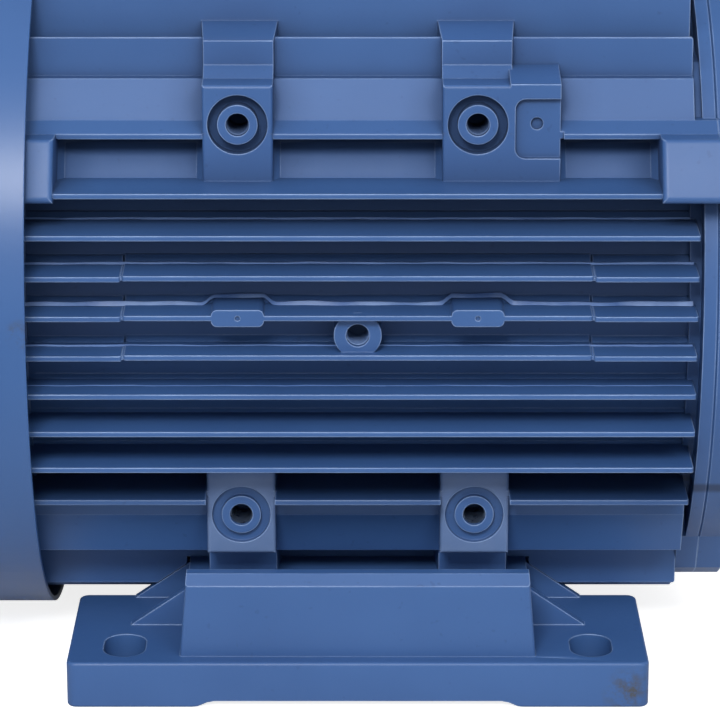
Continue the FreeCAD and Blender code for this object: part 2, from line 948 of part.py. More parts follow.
def drive_end_shield():
    outer = bearing_outer_radius + circlip_bite
    groove = ring(outer, bearing_outer_radius - over, bearing_start - circlip_thickness, bearing_start)
    return [end_shield(drive_flange, housing_end).cut(groove)]


def at_cowl_screws(shape):
    return spread(shape, cowl_screw_count, cowl_screw_angle)


def cowl_screw_rod(radius, y0, y1):
    return stub(radius, cowl_screw_x, 0, -y1, -y0)


def cowl_screw_holes():
    hole = cowl_screw_rod(cowl_screw_radius + running_clearance, cowl_inner_radius - cowl_screw_grip,
                          cowl_radius + over)
    return at_cowl_screws(hole)


def fan_end_shield():
    ear = lug(cowl_inner_radius - running_clearance, cowl_ear_width, -frame_end - fan_flange, -frame_end)
    body = joined([mirrored_x(end_shield(fan_flange, fan_housing_end))] + at_cowl_screws(ear))
    return [body.cut(cowl_screw_holes())]


def shield_bolts(flange):
    head = frame_end + flange
    shank = bolt_rod(shield_bolt_radius, frame_end - shield_bolt_grip + screw_end_gap, head + over)
    cap = bolt_rod(shield_bolt_radius * cap_head_radius, head, head + shield_bolt_radius * cap_head_height)
    return at_bolts(shank.fuse(cap))


# Fan and cowl
def cooling_fan():
    hub = rod(fan_hub_radius, fan_back, fan_front)
    disc = rod(fan_radius, fan_front - fan_plate, fan_front)
    half = fan_blade_thickness / 2
    end = fan_front - fan_blade_width
    outline = [
        (fan_front, fan_blade_root),
        (fan_front, fan_radius),
        (end, fan_radius),
        (end, fan_blade_corner),
        (fan_back + fan_plate, fan_blade_root),
    ]
    blade = prism([Vector(x, -half, r) for x, r in outline], Vector(0, fan_blade_thickness, 0))
    wheel = joined([hub, disc] + spread(blade, fan_blades))
    return [wheel.cut(rod(fan_seat_radius + fit_clearance, fan_back - over, fan_front + over))]


def fan_circlip():
    inner = fan_seat_radius - circlip_bite / 2 + fit_clearance
    return [ring(inner + circlip_height, inner, fan_back - circlip_thickness, fan_back)]


def grille_slots():
    pitch = grille_slot + grille_web
    start = cowl_end - over
    end = cowl_end + cowl_wall + over
    half = grille_spoke_width / 2
    spokes = spread(block(start, end, -half, half, 0, cowl_radius), grille_spokes)
    radii = [grille_inner_radius + k * pitch for k in range(grille_rings)]
    return [ring(r + grille_slot, r, start, end).cut(spokes) for r in radii]


def fan_cowl():
    def back_edge(e):
        return len(e.Vertexes) == 1 and e.CenterOfMass.x < cowl_end + cowl_wall + close

    outer = rounded(rod(cowl_radius, cowl_end, cowl_start), cowl_corner_radius, back_edge)
    inner = rod(cowl_inner_radius, cowl_end + cowl_wall, cowl_start + over)
    inner = rounded(inner, cowl_corner_radius - cowl_wall, back_edge)
    return [outer.cut([inner] + grille_slots() + cowl_screw_holes())]


def cowl_screws():
    top = cowl_radius + cowl_screw_radius
    head = cowl_screw_rod(cowl_screw_radius * pan_head_radius, cowl_radius, top)
    shank = cowl_screw_rod(cowl_screw_radius, cowl_inner_radius - cowl_screw_grip + screw_end_gap, top)
    return at_cowl_screws(head.fuse(shank))


def v_ring(x0):
    bore = bearing_bore_radius + fit_clearance
    end = x0 + v_ring_width
    return turned([(x0, bore), (end, bore), (end, bore + v_ring_height / 2), (x0, bore + v_ring_height)])


# Feet, drawn for the near side and mirrored
def foot_slots():
    half = foot_slot_width / 2
    reach = foot_slot_length / 2 - half
    middle = -foot_hole_pitch_y / 2
    low = sole - over
    high = plate_top + over
    cuts = []
    for x in (-foot_hole_pitch_x / 2, foot_hole_pitch_x / 2):
        cuts.append(block(x - half, x + half, middle - reach, middle + reach, low, high))
        cuts += [post(half, x, middle + j * reach, low, high) for j in (-1, 1)]
    return cuts


def foot_ribs():
    start = pedestal_half - pedestal_wall
    end = pedestal_half + pedestal_draft + foot_rib_run
    top = -pad_face - foot_rib_drop
    low = plate_top - over
    outline = [(start, low), (start, top), (pedestal_half, top), (end, plate_top), (end, low)]
    half = foot_rib_width / 2
    ribs = [prism_y(outline, -y - half, half - y) for y in foot_rib_places]
    return ribs + [mirrored_x(r) for r in ribs]


def foot_plate_body():
    plate = block(-foot_half_length, foot_half_length, -foot_outer, -foot_inner, sole, plate_top)
    plate = rounded(plate, foot_corner_radius, upright)
    return rounded(plate, foot_edge_radius, lambda e: not upright(e))


def foot_pedestal():
    def front_edge(e):
        middle = e.CenterOfMass
        return middle.y < close - pedestal_outer and middle.z > plate_top and not runs(e, Vector(1, 0, 0))

    wide = pedestal_half + pedestal_draft
    front = [
        (-wide, sole),
        (-wide, plate_top),
        (-pedestal_half, pedestal_top),
        (pedestal_half, pedestal_top),
        (wide, plate_top),
        (wide, sole),
    ]
    solid = rounded(prism_y(front, -pedestal_outer, -pad_inner), pedestal_edge_radius, front_edge)
    edge = -pedestal_outer - over
    slope = pedestal_lip_chamfer + over
    high = pedestal_top + over
    bevel = prism_x([(edge, high - slope - over), (edge + slope + over, high), (edge, high)], -wide, wide)
    seat = block(-wide, wide, pedestal_lip_width - pedestal_outer, 0, -pad_face, high)
    return solid.cut([bevel, seat])


def foot_hollows():
    half = pedestal_half - pedestal_wall
    front = pedestal_wall - pedestal_outer
    hollow = block(-half, half, front, -pad_inner - pedestal_wall / 2, sole - over, roof_under)
    curve = [(sole_relief_half_length + sole_relief_slope * s, sole + sole_relief * t)
             for s, t in sole_relief_curve]
    low = curve[0][0] + over
    profile = [(low, sole)] + curve + [(-x, z) for x, z in reversed(curve)] + [(-low, sole)]
    profile += [(-low, sole - over), (low, sole - over)]
    return [hollow, prism_y(profile, -foot_outer - over, 0)]


def near_foot():
    hole = foot_bolt_radius + seal_clearance
    holes = [post(hole, x, y, roof_under - over, over - pad_face) for x, y in foot_bolt_places(-1)]
    body = joined([foot_plate_body(), foot_pedestal()] + foot_ribs())
    return body.cut(foot_hollows() + holes + foot_slots())


def foot_bolts():
    head = roof_under - foot_washer_thickness
    tip = foot_bolt_grip - pad_face - screw_end_gap
    across = foot_bolt_radius * hex_head_across
    bolts = []
    for x, y in foot_bolt_places(-1) + foot_bolt_places(1):
        cap = hexagon(across, x, y, head - foot_bolt_radius * hex_head_height, head)
        bolts.append(cap.fuse(post(foot_bolt_radius, x, y, head - over, tip)))
    return bolts


def foot_washers():
    bottom = roof_under - foot_washer_thickness
    bore = foot_bolt_radius + seal_clearance
    places = foot_bolt_places(-1) + foot_bolt_places(1)
    discs = [post(foot_washer_radius, x, y, bottom, roof_under) for x, y in places]
    holes = [post(bore, x, y, bottom - over, roof_under + over) for x, y in places]
    return [disc.cut(hole) for disc, hole in zip(discs, holes)]


# Terminal box
def box_plan(inset, z0, z1):
    half_x = box_length / 2 - inset
    half_y = box_width / 2 - inset
    solid = block(box_offset - half_x, box_offset + half_x, -half_y, half_y, z0, z1)
    return rounded(solid, max(box_corner_radius - inset, box_least_radius), upright)


def lid_screw_places():
    dx = box_length / 2 - lid_post_inset
    dy = box_width / 2 - lid_post_inset
    return [(box_offset + i * dx, j * dy) for i in (-1, 1) for j in (-1, 1)]


def lid_holes(z0, z1):
    return [post(lid_screw_radius + running_clearance, x, y, z0, z1) for x, y in lid_screw_places()]


def box_holes(z0, z1):
    return [post(box_screw_radius + running_clearance, x, y, z0, z1) for x, y in box_screw_places()]


def gland_places():
    return [box_offset - gland_half_pitch, box_offset + gland_half_pitch]


def box_gasket_plate():
    low = box_seat - over
    high = box_bottom + over
    return [box_plan(0, box_seat, box_bottom).cut([lead_window(low, high)] + box_holes(low, high))]


def terminal_box():
    shell = box_plan(0, box_bottom, box_top).cut(box_plan(box_wall, floor_top, box_top + over))
    posts = [post(lid_post_radius, x, y, box_bottom + over, box_top) for x, y in lid_screw_places()]
    wall = box_width / 2
    low = box_bottom - over
    high = floor_top + over
    entry = gland_thread_radius + running_clearance
    cuts = [stub(entry, x, gland_level, wall - box_wall - over, wall + over) for x in gland_places()]
    cuts += lid_holes(box_top - lid_screw_grip, box_top + over) + box_holes(low, high)
    cuts += [post(box_screw_radius + running_clearance, x, y, low, high) for x, y in earth_screw_places()]
    return [joined([shell] + posts).cut(cuts + [lead_window(low, high)])]


def lid_gasket():
    low = box_top - over
    high = lid_bottom + over
    frame = box_plan(0, box_top, lid_bottom).cut(box_plan(box_wall + lid_wall, low, high))
    corners = [post(lid_post_radius, x, y, box_top, lid_bottom) for x, y in lid_screw_places()]
    return [joined([frame] + corners).cut(lid_holes(low, high))]


def terminal_lid():
    top = lid_bottom + lid_height
    solid = box_plan(0, lid_bottom, top)
    solid = rounded(solid, lid_wall, lambda e: e.CenterOfMass.z > top - close)
    hollow = box_plan(box_wall + lid_wall, lid_bottom - over, top - lid_wall)
    posts = [post(lid_post_radius, x, y, lid_bottom, top - over) for x, y in lid_screw_places()]
    return [joined([solid.cut(hollow)] + posts).cut(lid_holes(lid_bottom - over, top + over))]


def screws(places, radius, seat, grip):
    wide = radius * pan_head_radius
    top = seat + radius * pan_head_height
    heads = [post(wide, x, y, seat, top) for x, y in places]
    shanks = [post(radius, x, y, seat - grip, seat + over) for x, y in places]
    return [head.fuse(shank) for head, shank in zip(heads, shanks)]


def lid_screws():
    seat = lid_bottom + lid_height
    grip = lid_height + box_gasket + lid_screw_grip - screw_end_gap
    return screws(lid_screw_places(), lid_screw_radius, seat, grip)


def box_screws():
    grip = box_floor + box_gasket + box_screw_grip - screw_end_gap
    return screws(box_screw_places(), box_screw_radius, floor_top, grip)


def stud_places():
    return [(board_centre + i * stud_pitch_x, j * stud_pitch_y / 2) for i in (-1, 0, 1) for j in (-1, 1)]


def board_screw_places():
    reach = board_length / 2 - board_screw_margin
    return [(board_centre + i * reach, 0) for i in (-1, 1)]


def terminal_board():
    half = board_width / 2
    body = block(board_start, board_end, -half, half, floor_top, board_top)
    thick = board_fence_thickness / 2
    middles = [board_centre + i * stud_pitch_x / 2 for i in (-1, 1)]
    top = board_top + nut_height
    fences = [block(x - thick, x + thick, -half, half, board_top - over, top) for x in middles]
    low = floor_top - over
    high = board_top + over
    holes = [post(stud_radius + running_clearance, x, y, low, high) for x, y in stud_places()]
    screw_hole = board_screw_radius + running_clearance
    holes += [post(screw_hole, x, y, low, high) for x, y in board_screw_places()]
    return [joined([body] + fences).cut(holes)]


def board_screws():
    return screws(board_screw_places(), board_screw_radius, board_top, board_thickness)


def terminal_studs():
    return [post(stud_radius, x, y, floor_top, board_top + stud_height) for x, y in stud_places()]


def terminal_links():
    half = link_width / 2
    reach = stud_pitch_y / 2 + half
    top = board_top + link_thickness
    bore = stud_radius + running_clearance
    holes = [post(bore, x, y, board_top - over, top + over) for x, y in stud_places()]
    middles = [board_centre + k * stud_pitch_x for k in (-1, 0, 1)]
    return [block(x - half, x + half, -reach, reach, board_top, top).cut(holes) for x in middles]


def terminal_nuts():
    low = board_top + link_thickness
    high = low + nut_height
    bore = stud_radius + running_clearance
    return [hexagon(nut_across, x, y, low, high).cut(post(bore, x, y, low - over, high + over))
            for x, y in stud_places()]


def earth_screw_places():
    return [(board_centre, -earth_screw_offset)]


def earth_screw():
    return screws(earth_screw_places(), box_screw_radius, floor_top, box_floor)


# Cable gland and blanking plug, drawn along Z from the outer wall and turned to face +Y
def in_entry(shape, x):
    return around(shape, -90).translated(Vector(x, box_width / 2, gland_level))


def gland_body():
    low = -box_wall - gland_tail
    high = gland_collar + gland_neck
    collar = hexagon(gland_across, 0, 0, 0, gland_collar)
    thread = post(gland_thread_radius, 0, 0, low, high)
    bore = post(gland_bore_radius + gland_seal_wall, 0, 0, low - over, high + over)
    return [in_entry(collar.fuse(thread).cut(bore), gland_places()[0])]


def gland_seal():
    outer = gland_bore_radius + gland_seal_wall - fit_clearance
    top = gland_collar + gland_neck
    sleeve = post(outer, 0, 0, 0, top).cut(post(gland_bore_radius, 0, 0, -over, top + over))
    return [in_entry(sleeve, gland_places()[0])]


def gland_nut():
    top = gland_collar + gland_nut_length
    cap = hexagon(gland_nut_across, 0, 0, gland_collar, top)
    step = gland_collar + gland_neck + over
    inside = post(gland_thread_radius + running_clearance, 0, 0, gland_collar - over, step)
    mouth = post(gland_nut_mouth, 0, 0, gland_collar, top + over)
    return [in_entry(cap.cut([inside, mouth]), gland_places()[0])]


def blanking_plug():
    collar = hexagon(gland_across, 0, 0, 0, plug_collar)
    thread = post(gland_thread_radius, 0, 0, -box_wall - gland_tail, over)
    return [in_entry(collar.fuse(thread), gland_places()[1])]


def pieces():
    foot = near_foot()
    return {
        "stator_frame": stator_frame(),
        "stator_core": stator_core(),
        "stator_winding": stator_winding(),
        "slot_wedges": slot_wedges(),
        "drive_end_shield": drive_end_shield(),
        "fan_end_shield": fan_end_shield(),
        "drive_end_shield_bolts": shield_bolts(drive_flange),
        "fan_end_shield_bolts": [mirrored_x(s) for s in shield_bolts(fan_flange)],
        "drive_bearing_outer_ring": [bearing_outer_ring()],
        "drive_bearing_covers": bearing_covers(),
        "drive_bearing_cage": [bearing_cage()],
        "drive_bearing_inner_ring": [bearing_inner_ring()],
        "drive_bearing_circlip": bearing_circlip(),
        "fan_bearing_outer_ring": [mirrored_x(bearing_outer_ring())],
        "fan_bearing_covers": [mirrored_x(s) for s in bearing_covers()],
        "fan_bearing_cage": [mirrored_x(bearing_cage())],
        "fan_bearing_inner_ring": [mirrored_x(bearing_inner_ring())],
        "preload_spring": preload_spring(),
        "shaft": shaft(),
        "rotor_core": rotor_core(),
        "rotor_cage": rotor_cage(),
        "cooling_fan": cooling_fan(),
        "fan_circlip": fan_circlip(),
        "drive_end_v_ring": [v_ring(housing_end + seal_clearance)],
        "fan_end_v_ring": [mirrored_x(v_ring(fan_housing_end + seal_clearance))],
        "fan_cowl": fan_cowl(),
        "fan_cowl_screws": cowl_screws(),
        "near_foot": [foot],
        "far_foot": both_sides([foot])[1:],
        "foot_bolts": foot_bolts(),
        "foot_washers": foot_washers(),
        "terminal_box_gasket": box_gasket_plate(),
        "terminal_box": terminal_box(),
        "terminal_box_screws": box_screws(),
        "terminal_lid_gasket": lid_gasket(),
        "terminal_lid": terminal_lid(),
        "terminal_lid_screws": lid_screws(),
        "terminal_board": terminal_board(),
        "terminal_board_screws": board_screws(),
        "terminal_studs": terminal_studs(),
        "terminal_links": terminal_links(),
        "terminal_nuts": terminal_nuts(),
        "earth_screw": earth_screw(),
        "cable_gland_body": gland_body(),
        "cable_gland_seal": gland_seal(),
        "cable_gland_nut": gland_nut(),
        "blanking_plug": blanking_plug(),
    }


os.makedirs("parts", exist_ok=True)
for node, solids in pieces().items():
    save(node, solids)
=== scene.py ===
import json
import math
import bpy
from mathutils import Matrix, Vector


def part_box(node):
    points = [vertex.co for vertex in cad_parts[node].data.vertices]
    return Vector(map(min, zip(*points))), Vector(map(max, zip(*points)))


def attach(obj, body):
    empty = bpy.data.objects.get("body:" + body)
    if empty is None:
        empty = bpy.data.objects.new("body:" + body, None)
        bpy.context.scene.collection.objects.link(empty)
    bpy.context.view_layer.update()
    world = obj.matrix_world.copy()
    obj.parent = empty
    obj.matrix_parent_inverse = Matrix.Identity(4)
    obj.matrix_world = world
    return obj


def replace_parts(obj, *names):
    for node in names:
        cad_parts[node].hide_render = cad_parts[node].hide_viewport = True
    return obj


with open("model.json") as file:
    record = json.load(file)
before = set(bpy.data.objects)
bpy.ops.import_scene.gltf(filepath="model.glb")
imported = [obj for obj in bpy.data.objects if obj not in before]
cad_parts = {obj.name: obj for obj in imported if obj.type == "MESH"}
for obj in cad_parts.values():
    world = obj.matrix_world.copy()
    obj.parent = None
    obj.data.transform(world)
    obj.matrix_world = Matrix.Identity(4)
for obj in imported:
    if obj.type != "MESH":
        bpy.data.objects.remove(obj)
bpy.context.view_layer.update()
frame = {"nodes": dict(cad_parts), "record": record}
nodes = frame["nodes"]
print("frame loaded:", len(nodes), "nodes")


class Wire:                                     # a socket that Python's operators work on
    def __init__(self, socket):
        self.socket = socket

    def node(self, kind, settings=None, inputs=None, out=0):
        made = self.socket.id_data.nodes.new("ShaderNode" + kind)
        for name, value in (settings or {}).items():
            if name == "stops":                 # a ramp's stops: place and grey level or colour
                while len(made.color_ramp.elements) < len(value):
                    made.color_ramp.elements.new(0.5)
                for stop, (where, colour) in zip(made.color_ramp.elements, value):
                    stop.position = where
                    stop.color = colour if isinstance(colour, tuple) else (colour, colour, colour, 1)
            else:
                setattr(made, name, value)
        for name, value in (inputs or {}).items():
            if isinstance(value, Wire):
                self.socket.id_data.links.new(value.socket, made.inputs[name])
            else:
                made.inputs[name].default_value = value
        return Wire(made.outputs[out])

    def maths(self, operation, first, second=0.0):
        return self.node("Math", {"operation": operation}, {0: first, 1: second})

    def __add__(self, other):
        return self.maths("ADD", self, other)

    def __radd__(self, other):
        return self.maths("ADD", other, self)

    def __sub__(self, other):
        return self.maths("SUBTRACT", self, other)

    def __rsub__(self, other):
        return self.maths("SUBTRACT", other, self)

    def __mul__(self, other):
        return self.maths("MULTIPLY", self, other)

    def __rmul__(self, other):
        return self.maths("MULTIPLY", other, self)

    def __truediv__(self, other):
        return self.maths("DIVIDE", self, other)

    def __rtruediv__(self, other):
        return self.maths("DIVIDE", other, self)

    def __abs__(self):
        return self.maths("ABSOLUTE", self)

    def part(self, letter):                     # X, Y or Z of a place
        return self.node("SeparateXYZ", None, {"Vector": self}, letter)

    def noise(self, scale, detail=2.0, rough=0.5, stretch=None):
        place = self.node("Mapping", None, {"Vector": self, "Scale": stretch}) if stretch else self
        return self.node("TexNoise", None,
                         {"Vector": place, "Scale": scale, "Detail": detail, "Roughness": rough})

    def ramp(self, *stops):
        return self.node("ValToRGB", {"stops": stops}, {"Fac": self})

    def step(self, start, end):                 # 0 at the start to 1 at the end, either way round
        return self.node("MapRange", None, {"Value": self, "From Min": start, "From Max": end})

    def band(self, rise, fall):                 # 1 between a rising and a falling step
        return self.step(*rise) * self.step(*fall)

    def blend(self, first, second):             # two colours mixed by this value
        return self.node("Mix", {"data_type": "RGBA"}, {0: self, 6: first, 7: second}, 2)

    def bump(self, strength, depth, normal=None):
        inputs = {"Height": self, "Strength": strength, "Distance": depth}
        if normal:
            inputs["Normal"] = normal
        return self.node("Bump", None, inputs)


def newFinish(name):                            # an empty material, and the wire of its coordinates
    finish = bpy.data.materials.new(name)
    finish.use_nodes = True
    tree = finish.node_tree
    tree.nodes.clear()
    return finish, Wire(tree.nodes.new("ShaderNodeTexCoord").outputs["Object"])


def closeFinish(place, **sockets):              # a Principled shader with these sockets, to the output
    shader = place.node("BsdfPrincipled", None, {k.replace("_", " "): v for k, v in sockets.items()})
    tree = place.socket.id_data
    tree.links.new(shader.socket, tree.nodes.new("ShaderNodeOutputMaterial").inputs["Surface"])


axis = 0.112                                    # height of the shaft's axis

# Finishes, one for each material slot of the record
paintPlan = {
    "castDark": (0.033, 0.088, 0.240, 1), "castLight": (0.039, 0.102, 0.270, 1), "castRough": 0.36,
    "sheetDark": (0.034, 0.091, 0.246, 1), "sheetLight": (0.039, 0.102, 0.270, 1), "sheetRough": 0.32,
    "shine": 0.38, "speck": (0.020, 0.055, 0.16, 1), "speckShare": 0.35,
    "edgeRadius": 0.0006, "edgeLean": (0.005, 0.08),
    # wearAndHighlight: lighter edges, partly wear and partly a painted highlight
    "wearAndHighlight": (0.27, 0.38, 0.62, 1), "wearAndHighlightShare": 0.85, "outerReach": 0.003, "outerStep": (0.65, 0.85),
    # dustAndSheen: grey film on the lower pads, partly dust and partly a painted sheen
    "dustAndSheen": (0.37, 0.44, 0.55, 1), "dustAndSheenShare": 0.19,
    # paintedShade: colour of painted shade in corners, hollows, under the lip and on the lowest fin
    "paintedShade": (0.007, 0.020, 0.060, 1), "shadeReach": 0.013, "shadeShare": (0.26, 0.92),
    "shadeRise": 0.038, "shadeRough": 0.6, "finShadowShare": 0.75,
    "smudge": (0.052, 0.056, 0.066, 1), "smudgeGain": 1.6, "smudgeShare": 0.8,
    "footSmudge": (0.081, -0.1095, 0.005), "footReach": 0.009,
    "cowlSmudge": (-0.0972, -0.1116, 0.1163), "cowlReach": 0.005,
}
grainPlan = {                                   # how fine the paint's patterns are, and their depth
    "castCloud": 22.0, "sheetCloud": 14.0, "speck": 420.0, "wearAndHighlight": 60.0, "film": 48.0, "blotch": 240.0,
    "gloss": 300.0, "skinFine": 520.0, "skinCoarse": 130.0, "skinBump": (0.10, 0.0004),
    "peel": 260.0, "peelBump": (0.05, 0.0003), "cloudRough": 0.05, "glossRough": 0.06,
}
wherePlan = {                                   # places on the casting, each pair a step from 0 to 1
    "ribFootHighlight": (0.0152, 0.0147), "ribFootSpan": ((0.0520, 0.0540), (0.0745, 0.0730)),
    "padAlong": 0.035, "padHole": 0.052, "padSide": (0.0110, 0.0102), "padRing": (0.0086, 0.0092),
    "padHeight": ((0.030, 0.038), (0.067, 0.063)), "padDepth": ((0.0815, 0.0830), (0.0856, 0.0846)),
    "finHeight": ((0.0570, 0.0585), (0.0615, 0.0603)), "finDepth": (0.0940, 0.0900),
}


def smudge(place, middle, reach, colour):       # a small dirty rub round one point
    away = place.node("VectorMath", {"operation": "DISTANCE"}, {0: place, 1: middle}, "Value")
    blotch = place.noise(grainPlan["blotch"], 4.0, 0.7).ramp((0.42, 0.0), (0.62, 1.0))
    rub = (1.0 - away / reach) * paintPlan["smudgeGain"] * blotch
    rub = rub.maths("MAXIMUM", rub, 0.0) * paintPlan["smudgeShare"]
    return rub.blend(colour, paintPlan["smudge"])


def wornAndLitEdges(place, edge):                     # how far the rounded normal leans from the flat one
    flat = place.node("NewGeometry", None, None, "True Normal")
    lean = place.node("VectorMath", {"operation": "DOT_PRODUCT"}, {0: edge, 1: flat}, "Value")
    start, end = paintPlan["edgeLean"]
    return (1.0 - lean).ramp((start, 0.0), (end, 1.0))


def softEdge(place, radius, samples=6):         # the normal with its edges rounded
    return place.node("Bevel", {"samples": samples}, {"Radius": radius})


def openness(place, reach):                     # 1 in the open, less where something is this near
    return place.node("AmbientOcclusion", {"samples": 6}, {"Distance": reach}, "AO")


def paintedCasting():
    plan, grain, where = paintPlan, grainPlan, wherePlan
    finish, place = newFinish("paintedCasting")
    along, depth, height = abs(place.part("X")), abs(place.part("Y")), place.part("Z")
    cloud = place.noise(grain["castCloud"], 3.0).ramp((0.3, 0.0), (0.7, 1.0))
    colour = cloud.blend(plan["castDark"], plan["castLight"])
    speck = place.noise(grain["speck"], 1.0).ramp((0.70, 0.0), (0.78, 1.0))
    colour = (speck * plan["speckShare"]).blend(colour, plan["speck"])

    edge = softEdge(place, plan["edgeRadius"])
    outer = openness(place, plan["outerReach"]).step(*plan["outerStep"])
    ribFootHighlight = height.step(*where["ribFootHighlight"]) * along.band(*where["ribFootSpan"])
    edgeHighlightMask = place.maths("MAXIMUM", outer, ribFootHighlight)     # convex edges and the rib feet get the lighter colour, other inner corners do not
    patchy = place.noise(grain["wearAndHighlight"], 2.0).ramp((0.30, 0.45), (0.60, 1.0))
    # painted highlight and wear: rounded edges and rib feet made lighter
    wornAndHighlit = wornAndLitEdges(place, edge) * edgeHighlightMask * patchy
    colour = (wornAndHighlit * plan["wearAndHighlightShare"]).blend(colour, plan["wearAndHighlight"])

    aside, rise = abs(along - where["padAlong"]), height - where["padHole"]
    pad = aside.step(*where["padSide"])
    away = aside * aside + rise * rise
    flat = away.maths("SQRT", away).step(*where["padRing"])     # only outside the ring groove
    film = place.noise(grain["film"], 4.0, 0.6).ramp((0.25, 0.6), (0.60, 1.0))
    dustAndSheen = height.band(*where["padHeight"]) * depth.band(*where["padDepth"]) * pad * flat * film
    colour = (dustAndSheen * plan["dustAndSheenShare"]).blend(colour, plan["dustAndSheen"])     # dust and painted sheen on the lower pads
    # painted shadow: the lowest fin's top darkened where the fin above shades it
    finShadow = height.band(*where["finHeight"]) * (1.0 - pad) * depth.step(*where["finDepth"])
    colour = (finShadow * plan["finShadowShare"]).blend(colour, plan["paintedShade"])    # painted shadow on the lowest long fin, under the fin above
    least, most = plan["shadeShare"]
    share = least + height.step(axis, axis + plan["shadeRise"]) * (most - least)    # the painted shade is strongest under the lip
    # painted shade: darker where something is near, in corners, hollows and fin gaps
    paintedShade = (1.0 - openness(place, plan["shadeReach"])) * share
    colour = paintedShade.blend(colour, plan["paintedShade"])
    colour = smudge(place, plan["footSmudge"], plan["footReach"], colour)

    matt = place.noise(grain["gloss"]) * grain["glossRough"] + paintedShade * plan["shadeRough"]
    rough = plan["castRough"] + cloud * grain["cloudRough"] + matt
    skin = place.noise(grain["skinFine"], 3.0, 0.6) * 0.6 + place.noise(grain["skinCoarse"], 2.0) * 0.4
    closeFinish(place, Base_Color=colour, Roughness=rough, Specular_IOR_Level=plan["shine"],
                Normal=skin.bump(*grain["skinBump"], edge))
    return finish


def paintedSheet():
    plan, grain = paintPlan, grainPlan
    finish, place = newFinish("paintedSheet")
    cloud = place.noise(grain["sheetCloud"], 2.0).ramp((0.3, 0.0), (0.7, 1.0))
    colour = cloud.blend(plan["sheetDark"], plan["sheetLight"])
    colour = smudge(place, plan["cowlSmudge"], plan["cowlReach"], colour)
    peel = place.noise(grain["peel"], 1.0)
    edge = softEdge(place, plan["edgeRadius"])
    closeFinish(place, Base_Color=colour, Roughness=plan["sheetRough"] + cloud * grain["cloudRough"],
                Specular_IOR_Level=plan["shine"], Normal=peel.bump(*grain["peelBump"], edge))
    return finish


# the flash lines' lighter paints are painted highlights, and the worn one is also worn
litFlashTones = {                                  # each paint: dark and light, least roughness, shine
    "litFlashPaint": ((0.048, 0.114, 0.300, 1), (0.090, 0.170, 0.380, 1), 0.46, 0.32),
    "wornLitPaint": ((0.060, 0.130, 0.330, 1), (0.150, 0.245, 0.470, 1), 0.40, 0.36),
    "grain": 90.0, "spread": 0.1, "relief": 0.2, "deep": 0.0003,
}


def litFlashPaint(name):                           # lighter paint on the flash lines, a painted highlight on the small ridges
    plan = litFlashTones
    dark, light, rough, shine = plan[name]
    finish, place = newFinish(name)
    tone = place.noise(plan["grain"], 3.0).ramp((0.35, 0.0), (0.65, 1.0))
    closeFinish(place, Base_Color=tone.blend(dark, light), Roughness=rough + tone * plan["spread"],
                Specular_IOR_Level=shine, Normal=tone.bump(plan["relief"], plan["deep"]))
    return finish


turnedTones = {                                 # each steel: colour, least roughness, ring fineness
    "bearingSteel": ((0.60, 0.61, 0.62, 1), 0.20, 2200.0),
    "shaftSteel": ((0.55, 0.55, 0.54, 1), 0.26, 1500.0),
    "across": 30.0, "stain": 45.0, "stainShade": 0.72, "spread": 0.12, "relief": 0.12, "deep": 0.0002,
}


def turnedSteel(name):                          # fine lathe rings along X
    plan = turnedTones
    colour, rough, rings = plan[name]
    finish, place = newFinish(name)
    ringed = place.noise(1.0, 2.0, 0.6, (rings, plan["across"], plan["across"]))
    stain = place.noise(plan["stain"], 3.0).ramp((0.35, 0.0), (0.75, 1.0))
    dark = tuple(c * plan["stainShade"] for c in colour[:3]) + (1,)
    closeFinish(place, Base_Color=stain.blend(colour, dark), Metallic=1.0,
                Roughness=rough + ringed * plan["spread"],
                Normal=ringed.bump(plan["relief"], plan["deep"]))
    return finish


metalTones = {
    "springSteel": {"dark": (0.05, 0.048, 0.045, 1), "light": (0.12, 0.115, 0.11, 1), "rough": 0.35,
                    "spread": 0.15, "grain": 160.0, "detail": 2.0, "relief": 0.05, "deep": 0.0002},
    "castCage": {"dark": (0.50, 0.51, 0.52, 1), "light": (0.66, 0.66, 0.66, 1), "rough": 0.42,
                 "spread": 0.2, "grain": 380.0, "detail": 3.0, "relief": 0.25, "deep": 0.0004},
    "tappedMetal": {"dark": (0.14, 0.18, 0.25, 1), "light": (0.46, 0.54, 0.66, 1), "rough": 0.20,
                    "spread": 0.2, "grain": 500.0, "detail": 2.0, "relief": 0.1, "deep": 0.0002},
    "terminalBrass": {"dark": (0.52, 0.36, 0.12, 1), "light": (0.74, 0.56, 0.24, 1), "rough": 0.25,
                      "spread": 0.2, "grain": 150.0, "detail": 3.0, "relief": 0.08, "deep": 0.0002},
}


def grainedMetal(name):
    plan = metalTones[name]
    finish, place = newFinish(name)
    tone = place.noise(plan["grain"], plan["detail"])
    closeFinish(place, Base_Color=tone.blend(plan["dark"], plan["light"]), Metallic=1.0,
                Roughness=plan["rough"] + tone * plan["spread"],
                Normal=tone.bump(plan["relief"], plan["deep"]))
    return finish


zincTones = {
    "dark": (0.56, 0.57, 0.58, 1), "light": (0.72, 0.72, 0.70, 1), "grain": 120.0,
    "frost": 700.0, "rough": 0.28, "spread": 0.22, "relief": 0.06, "deep": 0.0002,
}


def zincSteel():                                # the coat's small frosted cells
    plan = zincTones
    finish, place = newFinish("zincSteel")
    frost = place.node("TexVoronoi", None, {"Vector": place, "Scale": plan["frost"]})
    tone = place.noise(plan["grain"], 2.0)
    closeFinish(place, Base_Color=tone.blend(plan["dark"], plan["light"]), Metallic=1.0,
                Roughness=plan["rough"] + frost * plan["spread"],
                Normal=frost.bump(plan["relief"], plan["deep"]))
    return finish


